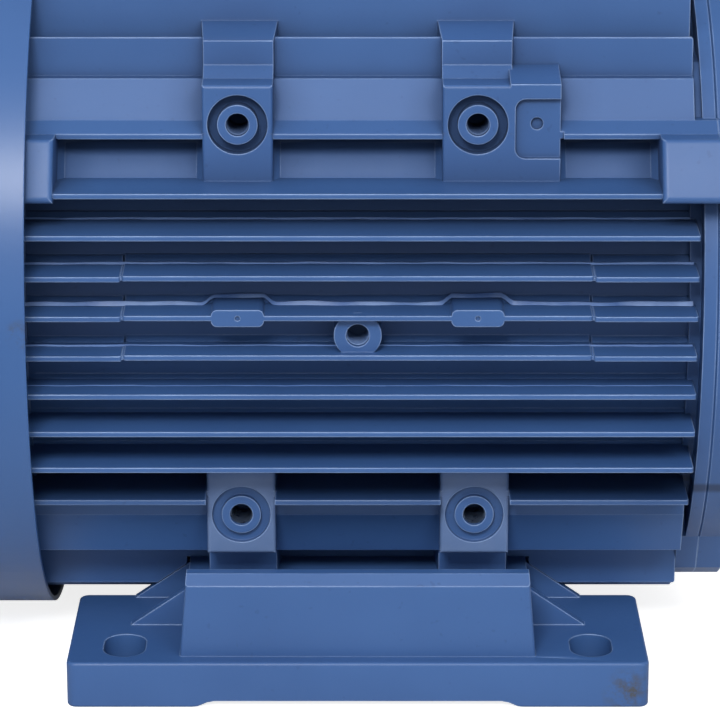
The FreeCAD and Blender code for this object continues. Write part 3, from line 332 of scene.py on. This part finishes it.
bandTones = {
    "laminationSteel": {"dark": (0.10, 0.105, 0.12, 1), "light": (0.30, 0.30, 0.31, 1), "metal": 0.9,
                        "way": "X", "bands": 320.0, "waver": 0.3, "detail": 1.0, "share": 0.6,
                        "grain": 60.0, "rough": 0.45, "spread": 0.15, "relief": 0.3, "deep": 0.0002},
    "copperWinding": {"dark": (0.20, 0.05, 0.02, 1), "light": (0.62, 0.24, 0.09, 1), "metal": 0.55,
                      "way": "DIAGONAL", "bands": 150.0, "waver": 2.5, "detail": 2.0, "share": 0.7,
                      "grain": 40.0, "rough": 0.30, "spread": 0.15, "relief": 0.6, "deep": 0.0008},
}


def bandedMetal(name):                          # edges of core sheets stacked along X, or enamelled wires
    plan = bandTones[name]
    finish, place = newFinish(name)
    bands = place.node("TexWave", {"wave_type": "BANDS", "bands_direction": plan["way"]},
                       {"Vector": place, "Scale": plan["bands"], "Distortion": plan["waver"],
                        "Detail": plan["detail"]})
    tone = place.noise(plan["grain"], 2.0)
    mixed = bands * plan["share"] + tone * (1 - plan["share"])
    closeFinish(place, Base_Color=mixed.blend(plan["dark"], plan["light"]), Metallic=plan["metal"],
                Roughness=plan["rough"] + tone * plan["spread"],
                Normal=bands.bump(plan["relief"], plan["deep"]))
    return finish


paperTones = {
    "dark": (0.62, 0.50, 0.27, 1), "light": (0.78, 0.69, 0.45, 1), "fibres": (60.0, 500.0, 500.0),
    "rough": 0.55, "spread": 0.2, "relief": 0.2, "deep": 0.0003,
}


def slotPaper():
    plan = paperTones
    finish, place = newFinish("slotInsulation")
    fibre = place.noise(1.0, 3.0, 0.6, plan["fibres"])
    closeFinish(place, Base_Color=fibre.blend(plan["dark"], plan["light"]),
                Roughness=plan["rough"] + fibre * plan["spread"],
                Normal=fibre.bump(plan["relief"], plan["deep"]))
    return finish


plasticTones = {                                # each plastic: dark and light, least roughness, grain
    "fanPlastic": ((0.020, 0.020, 0.022, 1), (0.034, 0.034, 0.036, 1), 0.42, 600.0),
    "rubberSeal": ((0.012, 0.012, 0.013, 1), (0.022, 0.022, 0.022, 1), 0.62, 900.0),
    "boardPlastic": ((0.16, 0.05, 0.03, 1), (0.22, 0.075, 0.04, 1), 0.38, 800.0),
    "glandPlastic": ((0.030, 0.032, 0.034, 1), (0.044, 0.046, 0.048, 1), 0.45, 700.0),
    "cloud": 30.0, "edgeRadius": 0.0004, "spread": 0.12, "relief": 0.12, "deep": 0.0003,
}


def mouldedPlastic(name):
    plan = plasticTones
    dark, light, rough, grain = plan[name]
    finish, place = newFinish(name)
    skin = place.noise(grain, 2.0)
    tone = place.noise(plan["cloud"], 2.0)
    edge = softEdge(place, plan["edgeRadius"], 4)
    closeFinish(place, Base_Color=tone.blend(dark, light), Roughness=rough + skin * plan["spread"],
                Normal=skin.bump(plan["relief"], plan["deep"], edge))
    return finish


finishes = {
    "painted_casting": paintedCasting(),
    "painted_sheet": paintedSheet(),
    "lamination_steel": bandedMetal("laminationSteel"),
    "copper": bandedMetal("copperWinding"),
    "insulation": slotPaper(),
    "bearing_steel": turnedSteel("bearingSteel"),
    "shaft_steel": turnedSteel("shaftSteel"),
    "cast_cage": grainedMetal("castCage"),
    "fan_plastic": mouldedPlastic("fanPlastic"),
    "zinc_steel": zincSteel(),
    "spring_steel": grainedMetal("springSteel"),
    "rubber_seal": mouldedPlastic("rubberSeal"),
    "terminal_brass": grainedMetal("terminalBrass"),
    "board_plastic": mouldedPlastic("boardPlastic"),
    "gland_plastic": mouldedPlastic("glandPlastic"),
}
threadFinish = grainedMetal("tappedMetal")      # for the bare threads
litFlashFinish = litFlashPaint("litFlashPaint")
wornLitFinish = litFlashPaint("wornLitPaint")
for part in frame["record"]["subparts"]:        # every CAD node gets the finish of its slot
    mesh = nodes[part["node"]].data
    mesh.materials.clear()
    mesh.materials.append(finishes[part["material_slot"]])
print("finishes made:", len(finishes))

# Modelling helpers
hair = 0.0001                                   # a point this near to a place is on it
facing = 0.9                                    # a normal that reaches this along an axis points that way


def clearSelection():
    if bpy.context.mode != "OBJECT":
        bpy.ops.object.mode_set(mode="OBJECT")
    bpy.ops.object.select_all(action="DESELECT")


def pick(kind, test):                           # points or edges by place, faces by place and normal
    bpy.ops.object.mode_set(mode="OBJECT")
    mesh = bpy.context.object.data
    points = mesh.vertices
    for group in (points, mesh.edges, mesh.polygons):
        group.foreach_set("select", [False] * len(group))
    if kind == "points":
        chosen = [v for v in points if test(v.co)]
    elif kind == "edges":
        chosen = [e for e in mesh.edges if all(test(points[i].co) for i in e.vertices)]
    else:
        chosen = [f for f in mesh.polygons if test(f.center, f.normal)]
    for one in chosen:
        one.select = True
    bpy.context.tool_settings.mesh_select_mode = (kind == "points", kind == "edges", kind == "faces")
    bpy.ops.object.mode_set(mode="EDIT")


def addBox(low, high):                          # a block between two corners, its place in its mesh
    clearSelection()
    bpy.ops.mesh.primitive_cube_add(size=1, location=[(a + b) / 2 for a, b in zip(low, high)])
    bpy.context.object.scale = [b - a for a, b in zip(low, high)]
    bpy.ops.object.transform_apply(location=True, rotation=True, scale=True)
    return bpy.context.object


def extrude(step):
    bpy.ops.mesh.extrude_region_move(TRANSFORM_OT_translate={"value": step})


def copyPiece(piece, shift=(0, 0, 0), flip=(1, 1, 1)):
    clearSelection()
    twin = piece.copy()
    twin.data = piece.data.copy()
    bpy.context.scene.collection.objects.link(twin)
    twin.select_set(True)
    bpy.context.view_layer.objects.active = twin
    bpy.ops.object.mode_set(mode="EDIT")
    bpy.ops.mesh.select_all(action="SELECT")
    bpy.ops.transform.translate(value=shift)
    bpy.ops.transform.resize(value=flip, center_override=(0, 0, 0))
    if flip[0] * flip[1] * flip[2] < 0:
        bpy.ops.mesh.flip_normals()
    bpy.ops.object.mode_set(mode="OBJECT")
    return twin


def mirrored(pieces):                           # copies for the far side
    return [copyPiece(piece, flip=(1, -1, 1)) for piece in pieces]


def keepPiece(name, pieces, slot="painted_casting", body="motor_housing", angle=40):
    clearSelection()
    for piece in pieces:
        piece.select_set(True)
    bpy.context.view_layer.objects.active = pieces[0]
    if len(pieces) > 1:
        bpy.ops.object.join()
    kept = bpy.context.object
    kept.name = name
    bpy.ops.object.shade_smooth_by_angle(angle=math.radians(angle))
    kept.data.materials.clear()
    kept.data.materials.append(finishes[slot])
    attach(kept, body)
    return kept


# Leaning back walls of the pockets under the panel lip
pocketPlan = {
    "spans": ((-0.0880, -0.0453), (-0.0247, 0.0247)),
    "nearEnd": (0.0591, 0.0880), "farEnd": (0.0453, 0.0880),    # only the near side has the earth block
    "low": 0.0425, "root": 0.0441, "bend": 0.0510, "high": 0.0556,
    "back": 0.0660, "foot": 0.0804, "face": 0.0792, "lean": 0.0043, "deepLean": 0.0060,
    "rootRound": 0.0008, "bendRound": 0.0024, "corner": 0.0020, "forward": 0.0032, "sunk": 0.0006,
}


def pocketWall(start, end):
    plan = pocketPlan
    low, bend, high = (axis + plan[level] for level in ("root", "bend", "high"))
    left, right = start + plan["corner"], end - plan["corner"]
    inFront = -plan["back"] - hair
    wall = addBox((left, -plan["face"], low), (right, -plan["back"], bend))
    pick("points", lambda c: c.y < inFront and c.z > bend - hair)
    bpy.ops.transform.translate(value=(0, plan["lean"], 0))
    pick("faces", lambda c, n: n.z > facing)
    extrude((0, 0, high - bend))
    pick("points", lambda c: c.y < inFront and c.z > high - hair)
    bpy.ops.transform.translate(value=(0, plan["deepLean"], 0))
    pick("faces", lambda c, n: n.z < -facing)
    extrude((0, 0, plan["low"] - plan["root"]))
    pick("points", lambda c: c.y < inFront and c.z < low - hair)
    bpy.ops.transform.translate(value=(0, plan["face"] - plan["foot"], 0))
    for side, edge in ((-1, left), (1, right)):     # the wall comes forward into its end corners
        pick("faces", lambda c, n: n.x * side > facing)
        extrude((side * (plan["corner"] + plan["sunk"]), 0, 0))
        pick("points", lambda c: (c.x - edge) * side > hair and c.y < inFront)
        bpy.ops.transform.translate(value=(0, -plan["forward"], 0))
    for level, rounding in ((low, plan["rootRound"]), (bend, plan["bendRound"])):
        pick("edges", lambda c: left - hair < c.x < right + hair and c.y < inFront
             and abs(c.z - level) < hair)
        bpy.ops.mesh.bevel(offset=rounding, segments=4, affect="EDGES")
    bpy.ops.object.mode_set(mode="OBJECT")
    return wall


nearWalls = [pocketWall(*span) for span in pocketPlan["spans"]]
farWalls = mirrored(nearWalls)
farEnd = pocketWall(*pocketPlan["farEnd"])
farWalls += mirrored([farEnd])
bpy.data.objects.remove(farEnd)
nearWalls.append(pocketWall(*pocketPlan["nearEnd"]))
keepPiece("nearPocketWalls", nearWalls)
keepPiece("farPocketWalls", farWalls)

# Fills in the steps of the middle fins, set back from the fin tips
stepPlan = {
    "levels": (0.018, 0.006, -0.006), "from": 0.06835, "to": 0.06905, "tip": 0.0993, "root": 0.0835,
    "under": 0.0002, "tipTop": 0.00045, "rootTop": 0.0011, "round": 0.0002,
}


def finStepFills():
    plan = stepPlan
    first = addBox((plan["from"], -plan["tip"], axis - plan["under"]),
                   (plan["to"], -plan["root"], axis + plan["tipTop"]))
    pick("points", lambda c: c.y > -plan["root"] - hair and c.z > axis)
    bpy.ops.transform.translate(value=(0, 0, plan["rootTop"] - plan["tipTop"]))
    pick("edges", lambda c: c.z > axis and c.y < -plan["tip"] + hair)
    bpy.ops.mesh.bevel(offset=plan["round"], segments=2, affect="EDGES")
    bpy.ops.object.mode_set(mode="OBJECT")
    fills = [copyPiece(first, (0, 0, level), (x, y, 1))
             for level in plan["levels"] for x in (-1, 1) for y in (-1, 1)]
    bpy.data.objects.remove(first)
    return fills


keepPiece("finStepFills", finStepFills())

# Flash lines left by the die along the fins, wavy and a little raised
flashPlan = {
    "half": 0.0985, "wide": 0.0012, "high": 0.0005, "sunk": 0.0003, "crown": 0.25, "lengths": 161,
    "waver": 0.00016, "waverWaves": (5.3, 2.1), "waverPhase": 900, "swell": 0.5, "swellWaves": (8.7, 3.1),
    "swellPhase": 500,
    "lozenge": 35.0, "lozengeHalf": 7.9, "curl": 3.5, "curlUp": 0.0017, "curlBack": 0.0030,
    "rows": {                                   # height, distance out, fin top there, size
        "30": (0.030, 0.0820, 0.00150, 0.5), "18": (0.018, 0.0872, 0.00122, 0.6),
        "6": (0.006, 0.0888, 0.00120, 1.5), "-6": (-0.006, 0.0907, 0.00112, 0.4),
        "-18": (-0.018, 0.0918, 0.00106, 0.25),
    },
}


def flashLine(level, reach, top, size):
    plan = flashPlan
    wide, high = plan["wide"] * size, plan["high"] * size
    base = axis + level + top - plan["sunk"]
    step = 2 * plan["half"] / plan["lengths"]
    line = addBox((-plan["half"], -reach - wide / 2, base),
                  (step - plan["half"], -reach + wide / 2, base + plan["sunk"] + high))
    pick("faces", lambda c, n: n.z > facing)
    bpy.ops.transform.resize(value=(1, plan["crown"], 1), center_override=(0, -reach, 0))
    pick("faces", lambda c, n: n.x > facing)
    for length in range(plan["lengths"] - 1):
        extrude((step, 0, 0))
    bpy.ops.object.mode_set(mode="OBJECT")
    longWaver, shortWaver = plan["waverWaves"]
    longSwell, shortSwell = plan["swellWaves"]
    for point in line.data.vertices:            # the waver of a die's joint, each row out of step
        x = point.co.x * 1000                   # in millimetres, as the waves and the lozenges are
        sway = math.sin(x / longWaver + level * plan["waverPhase"]) + 0.7 * math.sin(x / shortWaver + 2.0)
        point.co.y += plan["waver"] * sway
        if point.co.z > base + plan["sunk"]:
            rise = 0.45 * math.sin(x / longSwell + level * plan["swellPhase"])
            point.co.z += high * (rise + 0.35 * math.sin(x / shortSwell)) * plan["swell"]
        beside = abs(abs(x) - plan["lozenge"]) - plan["lozengeHalf"]
        if size > 1 and beside < plan["curl"]:  # the large line turns up round the root of each lozenge
            turn = (1 - max(beside, 0) / plan["curl"]) ** 2
            point.co.z += plan["curlUp"] * turn
            point.co.y += plan["curlBack"] * turn
    return line


nearLines = [flashLine(*row) for row in flashPlan["rows"].values()]
farLines = mirrored(nearLines)
for side, lines in (("near", nearLines), ("far", farLines)):
    wornAndHighlit = lines.pop(list(flashPlan["rows"]).index("6"))    # the large one, worn and with the brighter painted highlight
    keepPiece(side + "FlashLines", lines).data.materials[0] = litFlashFinish
    keepPiece(side + "WornFlashLine", [wornAndHighlit]).data.materials[0] = wornLitFinish

# Threads in the tapped holes of the pads and side bosses
threadPlan = {
    "radius": 0.00336, "core": 0.00302, "outside": 0.00339, "pitch": 0.00125, "turns": 9, "start": 0.0016,
    "sides": 32,
    "painted": ((-0.035, 0.060, 0.084), (0.035, 0.060, 0.084), (0.0, 0.0, 0.097)),
    "bare": ((-0.035, -0.060, 0.084), (0.035, -0.060, 0.084)),      # in the lower pads
}


def threadSleeve(x, z, face):
    plan = threadPlan
    mouth = -face + plan["start"]
    centre = (x, mouth, axis + z)
    clearSelection()
    bpy.ops.mesh.primitive_circle_add(vertices=plan["sides"], radius=plan["radius"], location=centre,
                                      rotation=(math.pi / 2, 0, 0))
    bpy.ops.object.transform_apply(location=True, rotation=True, scale=True)
    sleeve = bpy.context.object
    sizes = [plan["core"], plan["radius"]] * plan["turns"]
    now = plan["radius"]
    pick("edges", lambda c: True)               # the whole circle
    for size in sizes + [plan["outside"]]:
        extrude((0, plan["pitch"] / 2, 0))
        bpy.ops.transform.resize(value=(size / now, 1, size / now), center_override=centre)
        now = size
    extrude((0, -plan["pitch"] * (plan["turns"] + 0.5), 0))
    pick("edges", lambda c: abs(c.y - mouth) < hair)
    bpy.ops.mesh.bridge_edge_loops()
    bpy.ops.mesh.select_all(action="SELECT")
    bpy.ops.mesh.normals_make_consistent(inside=False)
    bpy.ops.object.mode_set(mode="OBJECT")
    return sleeve


painted = [threadSleeve(*hole) for hole in threadPlan["painted"]]
bare = [threadSleeve(*hole) for hole in threadPlan["bare"]]
farPainted, farBare = mirrored(painted), mirrored(bare)
for side, threads, lowThreads in (("near", painted, bare), ("far", farPainted, farBare)):
    keepPiece(side + "PaintedThreads", threads, angle=20)
    keepPiece(side + "BareThreads", lowThreads, "cast_cage", angle=20).data.materials[0] = threadFinish

# The die's parting line, a fine ridge at the edges of the upper pads
partingPlan = {
    "level": 0.0573, "face": 0.0840, "high": 0.00022, "proud": 0.00008, "sunk": 0.0005, "crown": 0.3,
    "spans": ((-0.0453, -0.0439), (-0.0261, -0.0247), (0.0247, 0.0261), (0.0439, 0.0453)),
}


def partingRidge(start, end):
    plan = partingPlan
    middle = axis + plan["level"]
    ridge = addBox((start, -plan["face"] - plan["proud"], middle - plan["high"] / 2),
                   (end, -plan["face"] + plan["sunk"], middle + plan["high"] / 2))
    pick("faces", lambda c, n: n.y < -facing)
    bpy.ops.transform.resize(value=(1, 1, plan["crown"]), center_override=(0, 0, middle))
    bpy.ops.object.mode_set(mode="OBJECT")
    return ridge


ridges = [partingRidge(*span) for span in partingPlan["spans"]]
keepPiece("partingLines", ridges + mirrored(ridges))
print("casting details made")

# Screws with real drives in place of the plain ones
screwPlan = {
    "sides": 32, "edge": 0.0006, "dome": 0.55, "shankShare": 0.9, "clear": 0.001,
    "socketAcross": 0.0050, "socketDeep": 0.0032,
    "crossWide": 0.0011, "crossLong": 0.0052, "crossDeep": 0.0016, "crossShare": 0.5,
    "shield": {"ring": 0.0970, "turn": 30.0, "head": 0.0050, "high": 0.0060, "shank": 0.0030},
    "cowl": {"ring": 0.1117, "turn": 45.0,
             "head": 0.0050, "high": 0.0035, "shank": 0.0025, "grip": 0.006},
    "lid": {"inset": 0.0080, "turn": 9.0, "turnStep": 20.0,
            "head": 0.0040, "high": 0.0028, "shank": 0.0020, "grip": 0.020},
}


def addRod(radius, low, high, sides):           # an upright rod on the Z axis
    clearSelection()
    bpy.ops.mesh.primitive_cylinder_add(vertices=sides, radius=radius, depth=high - low,
                                        location=(0, 0, (low + high) / 2))
    bpy.ops.object.transform_apply(location=True, rotation=True, scale=True)
    return bpy.context.object


def cutAway(piece, cutter):
    clearSelection()
    piece.select_set(True)
    bpy.context.view_layer.objects.active = piece
    cut = piece.modifiers.new("drive", "BOOLEAN")
    cut.operation = "DIFFERENCE"
    cut.object = cutter
    bpy.ops.object.modifier_apply(modifier="drive")
    bpy.data.objects.remove(cutter)


def screwBlank(head, high, shank, grip, crown):  # a head on its seat at Z 0, its shank drawn out below
    piece = addRod(head, 0, high, screwPlan["sides"])
    pick("edges", lambda c: c.z > high - hair)
    bpy.ops.mesh.bevel(offset=crown, segments=4, affect="EDGES")
    pick("faces", lambda c, n: n.z < -facing)
    bpy.ops.mesh.inset(thickness=head - shank)
    extrude((0, 0, -grip))
    share = screwPlan["shankShare"]
    bpy.ops.transform.resize(value=(share, share, 1), center_override=(0, 0, 0))
    bpy.ops.object.mode_set(mode="OBJECT")
    return piece


def socketScrew(head, high, shank, grip):
    piece = screwBlank(head, high, shank, grip, screwPlan["edge"])
    across = screwPlan["socketAcross"] / math.sqrt(3)
    cutAway(piece, addRod(across, high - screwPlan["socketDeep"], high + screwPlan["clear"], 6))
    return piece


def crossScrew(head, high, shank, grip):
    plan = screwPlan
    piece = screwBlank(head, high, shank, grip, high * plan["dome"])
    half, long, deep = plan["crossWide"] / 2, plan["crossLong"] / 2, plan["crossDeep"]
    share = plan["crossShare"]
    for wide, tall in ((half, long), (long, half)):
        cutter = addBox((-wide, -tall, high - deep), (wide, tall, high + plan["clear"]))
        pick("faces", lambda c, n: n.z < -facing)
        bpy.ops.transform.resize(value=(share, share, 1), center_override=(0, 0, 0))
        bpy.ops.object.mode_set(mode="OBJECT")
        cutAway(piece, cutter)
    return piece


def setScrew(blank, letter, angle, shift):      # a copy turned about one axis, then moved
    twin = copyPiece(blank)
    setattr(twin.rotation_euler, letter, math.radians(angle))
    twin.location = shift
    bpy.ops.object.transform_apply(location=True, rotation=True, scale=True)
    return twin


def ringScrew(blank, turn, ring, x, pointing):  # pointing along the shaft (1 or -1) or straight out (0)
    a = math.radians(turn)
    shift = (x, -ring * math.cos(a), axis + ring * math.sin(a))
    if pointing:
        return setScrew(blank, "y", 90 * pointing, shift)
    return setScrew(blank, "x", 90 - turn, shift)


plan = screwPlan["shield"]
for node, end in (("drive_end_shield_bolts", 1), ("fan_end_shield_bolts", -1)):
    low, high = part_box(node)
    tip = high[0] if end > 0 else low[0]
    seat = tip - end * plan["high"]
    blank = socketScrew(plan["head"], plan["high"], plan["shank"], high[0] - low[0] - plan["high"])
    group = [ringScrew(blank, plan["turn"] + 90 * k, plan["ring"], seat, end) for k in range(4)]
    bpy.data.objects.remove(blank)
    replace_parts(keepPiece(node.replace("bolts", "socketScrews"), group, "zinc_steel", angle=30), node)

plan = screwPlan["cowl"]
low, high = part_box("fan_cowl_screws")
middle = (low[0] + high[0]) / 2
blank = crossScrew(plan["head"], plan["high"], plan["shank"], plan["grip"])
group = [ringScrew(blank, plan["turn"] + 90 * k, plan["ring"], middle, 0) for k in range(4)]
bpy.data.objects.remove(blank)
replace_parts(keepPiece("cowlCrossScrews", group, "zinc_steel", angle=30), "fan_cowl_screws")

plan = screwPlan["lid"]
low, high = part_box("terminal_lid")
blank = crossScrew(plan["head"], plan["high"], plan["shank"], plan["grip"])
corners = [(x, y) for x in (low[0] + plan["inset"], high[0] - plan["inset"])
           for y in (low[1] + plan["inset"], high[1] - plan["inset"])]
group = [setScrew(blank, "z", plan["turn"] + plan["turnStep"] * k, (x, y, high[2]))
         for k, (x, y) in enumerate(corners)]
bpy.data.objects.remove(blank)
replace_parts(keepPiece("lidCrossScrews", group, "zinc_steel", angle=30), "terminal_lid_screws")
print("screws made")

# Floor, light and camera
studioPlan = {
    "aim": (0.0, 0.0, 0.115), "horizon": 0.60, "zenith": 0.12, "skyStep": (0.30, 0.65),
    "floorSize": 12, "floorNear": 0.68, "floorFar": 0.34, "floorStep": (0.20, 0.38),
    "floorGlow": 0.82, "floorShine": 0.10,
    "lamps": {                                  # azimuth, elevation, distance, width, height, power
        "frontBox": (0.0, 47.0, 1.3, 2.6, 0.80, 9.0),
        "lowBox": (0.0, 9.0, 1.7, 2.4, 0.40, 2.6),
        "topBox": (0.0, 86.0, 1.3, 1.2, 0.8, 2.0),
        "rearFill": (182.0, 22.0, 2.2, 2.0, 0.6, 12.0),
        "rearBox": (165.0, 28.0, 2.2, 1.6, 0.9, 5.0),
        "leftBox": (-10.0, 36.0, 2.0, 0.45, 0.55, 23.0),
        "rightBox": (26.0, 37.0, 2.0, 0.55, 0.45, 6.0),
    },
    "noGloss": ("lowBox", "rearFill"),          # fills that leave no gloss of their own
    "cameraPlace": (0.00067, -1.07866, 0.40315), "cameraTilt": 73.08, "lens": 175.25, "sensor": 36.0,
}

clearSelection()
bpy.ops.mesh.primitive_plane_add(size=studioPlan["floorSize"], location=(0, 0, 0))
floor = bpy.context.object
floor.name = "paleFloor"
paper, place = newFinish("palePaper")
reach = place.node("VectorMath", {"operation": "LENGTH"}, {0: place}, "Value")
away = reach.step(*studioPlan["floorStep"])
near, far = studioPlan["floorNear"], studioPlan["floorFar"]
seen = place.node("LightPath", None, None, "Is Camera Ray")
gloss = place.node("LightPath", None, None, "Is Glossy Ray") * (1.0 - away) * studioPlan["floorShine"]
glow = seen * (studioPlan["floorGlow"] + away * (near - far)) + gloss
shade = place.node("BsdfDiffuse", None, {"Color": away.blend((near, near, near, 1), (far, far, far, 1))})
shine = place.node("Emission", None, {"Color": (1, 1, 1, 1), "Strength": glow})
both = place.node("AddShader", None, {0: shade, 1: shine})
tree = paper.node_tree
tree.links.new(both.socket, tree.nodes.new("ShaderNodeOutputMaterial").inputs["Surface"])
floor.data.materials.append(paper)

world = bpy.data.worlds.new("softRoom")
bpy.context.scene.world = world
world.use_nodes = True
backdrop = world.node_tree.nodes["Background"]
ray = Wire(world.node_tree.nodes.new("ShaderNodeTexCoord").outputs["Generated"])
start, end = studioPlan["skyStep"]
level = ray.node("MapRange", None, {"Value": ray.part("Z"), "From Min": start, "From Max": end,
                                    "To Min": studioPlan["horizon"], "To Max": studioPlan["zenith"]})
seen = ray.node("LightPath", None, None, "Is Camera Ray")
strength = level + seen * (1.0 - level)
backdrop.inputs["Color"].default_value = (1, 1, 1, 1)
world.node_tree.links.new(strength.socket, backdrop.inputs["Strength"])

aim = Vector(studioPlan["aim"])
for name, (azimuth, elevation, distance, wide, tall, power) in studioPlan["lamps"].items():
    lamp = bpy.data.lights.new(name, "AREA")
    lamp.shape = "RECTANGLE"
    lamp.size = wide
    lamp.size_y = tall
    lamp.energy = power
    holder = bpy.data.objects.new(name, lamp)
    holder.visible_glossy = name not in studioPlan["noGloss"]
    bpy.context.scene.collection.objects.link(holder)
    a, e = math.radians(azimuth), math.radians(elevation)
    outward = Vector((math.sin(a) * math.cos(e), -math.cos(a) * math.cos(e), math.sin(e)))
    holder.location = aim + outward * distance
    holder.rotation_euler = (-outward).to_track_quat("-Z", "Y").to_euler()

cameraData = bpy.data.cameras.new("photoCamera")
cameraData.sensor_width = studioPlan["sensor"]
cameraData.lens = studioPlan["lens"]
camera = bpy.data.objects.new("photoCamera", cameraData)
bpy.context.scene.collection.objects.link(camera)
camera.location = studioPlan["cameraPlace"]
camera.rotation_euler = (math.radians(studioPlan["cameraTilt"]), 0, 0)
bpy.context.scene.camera = camera
bpy.context.scene.view_settings.view_transform = "Standard"
print("studio ready")
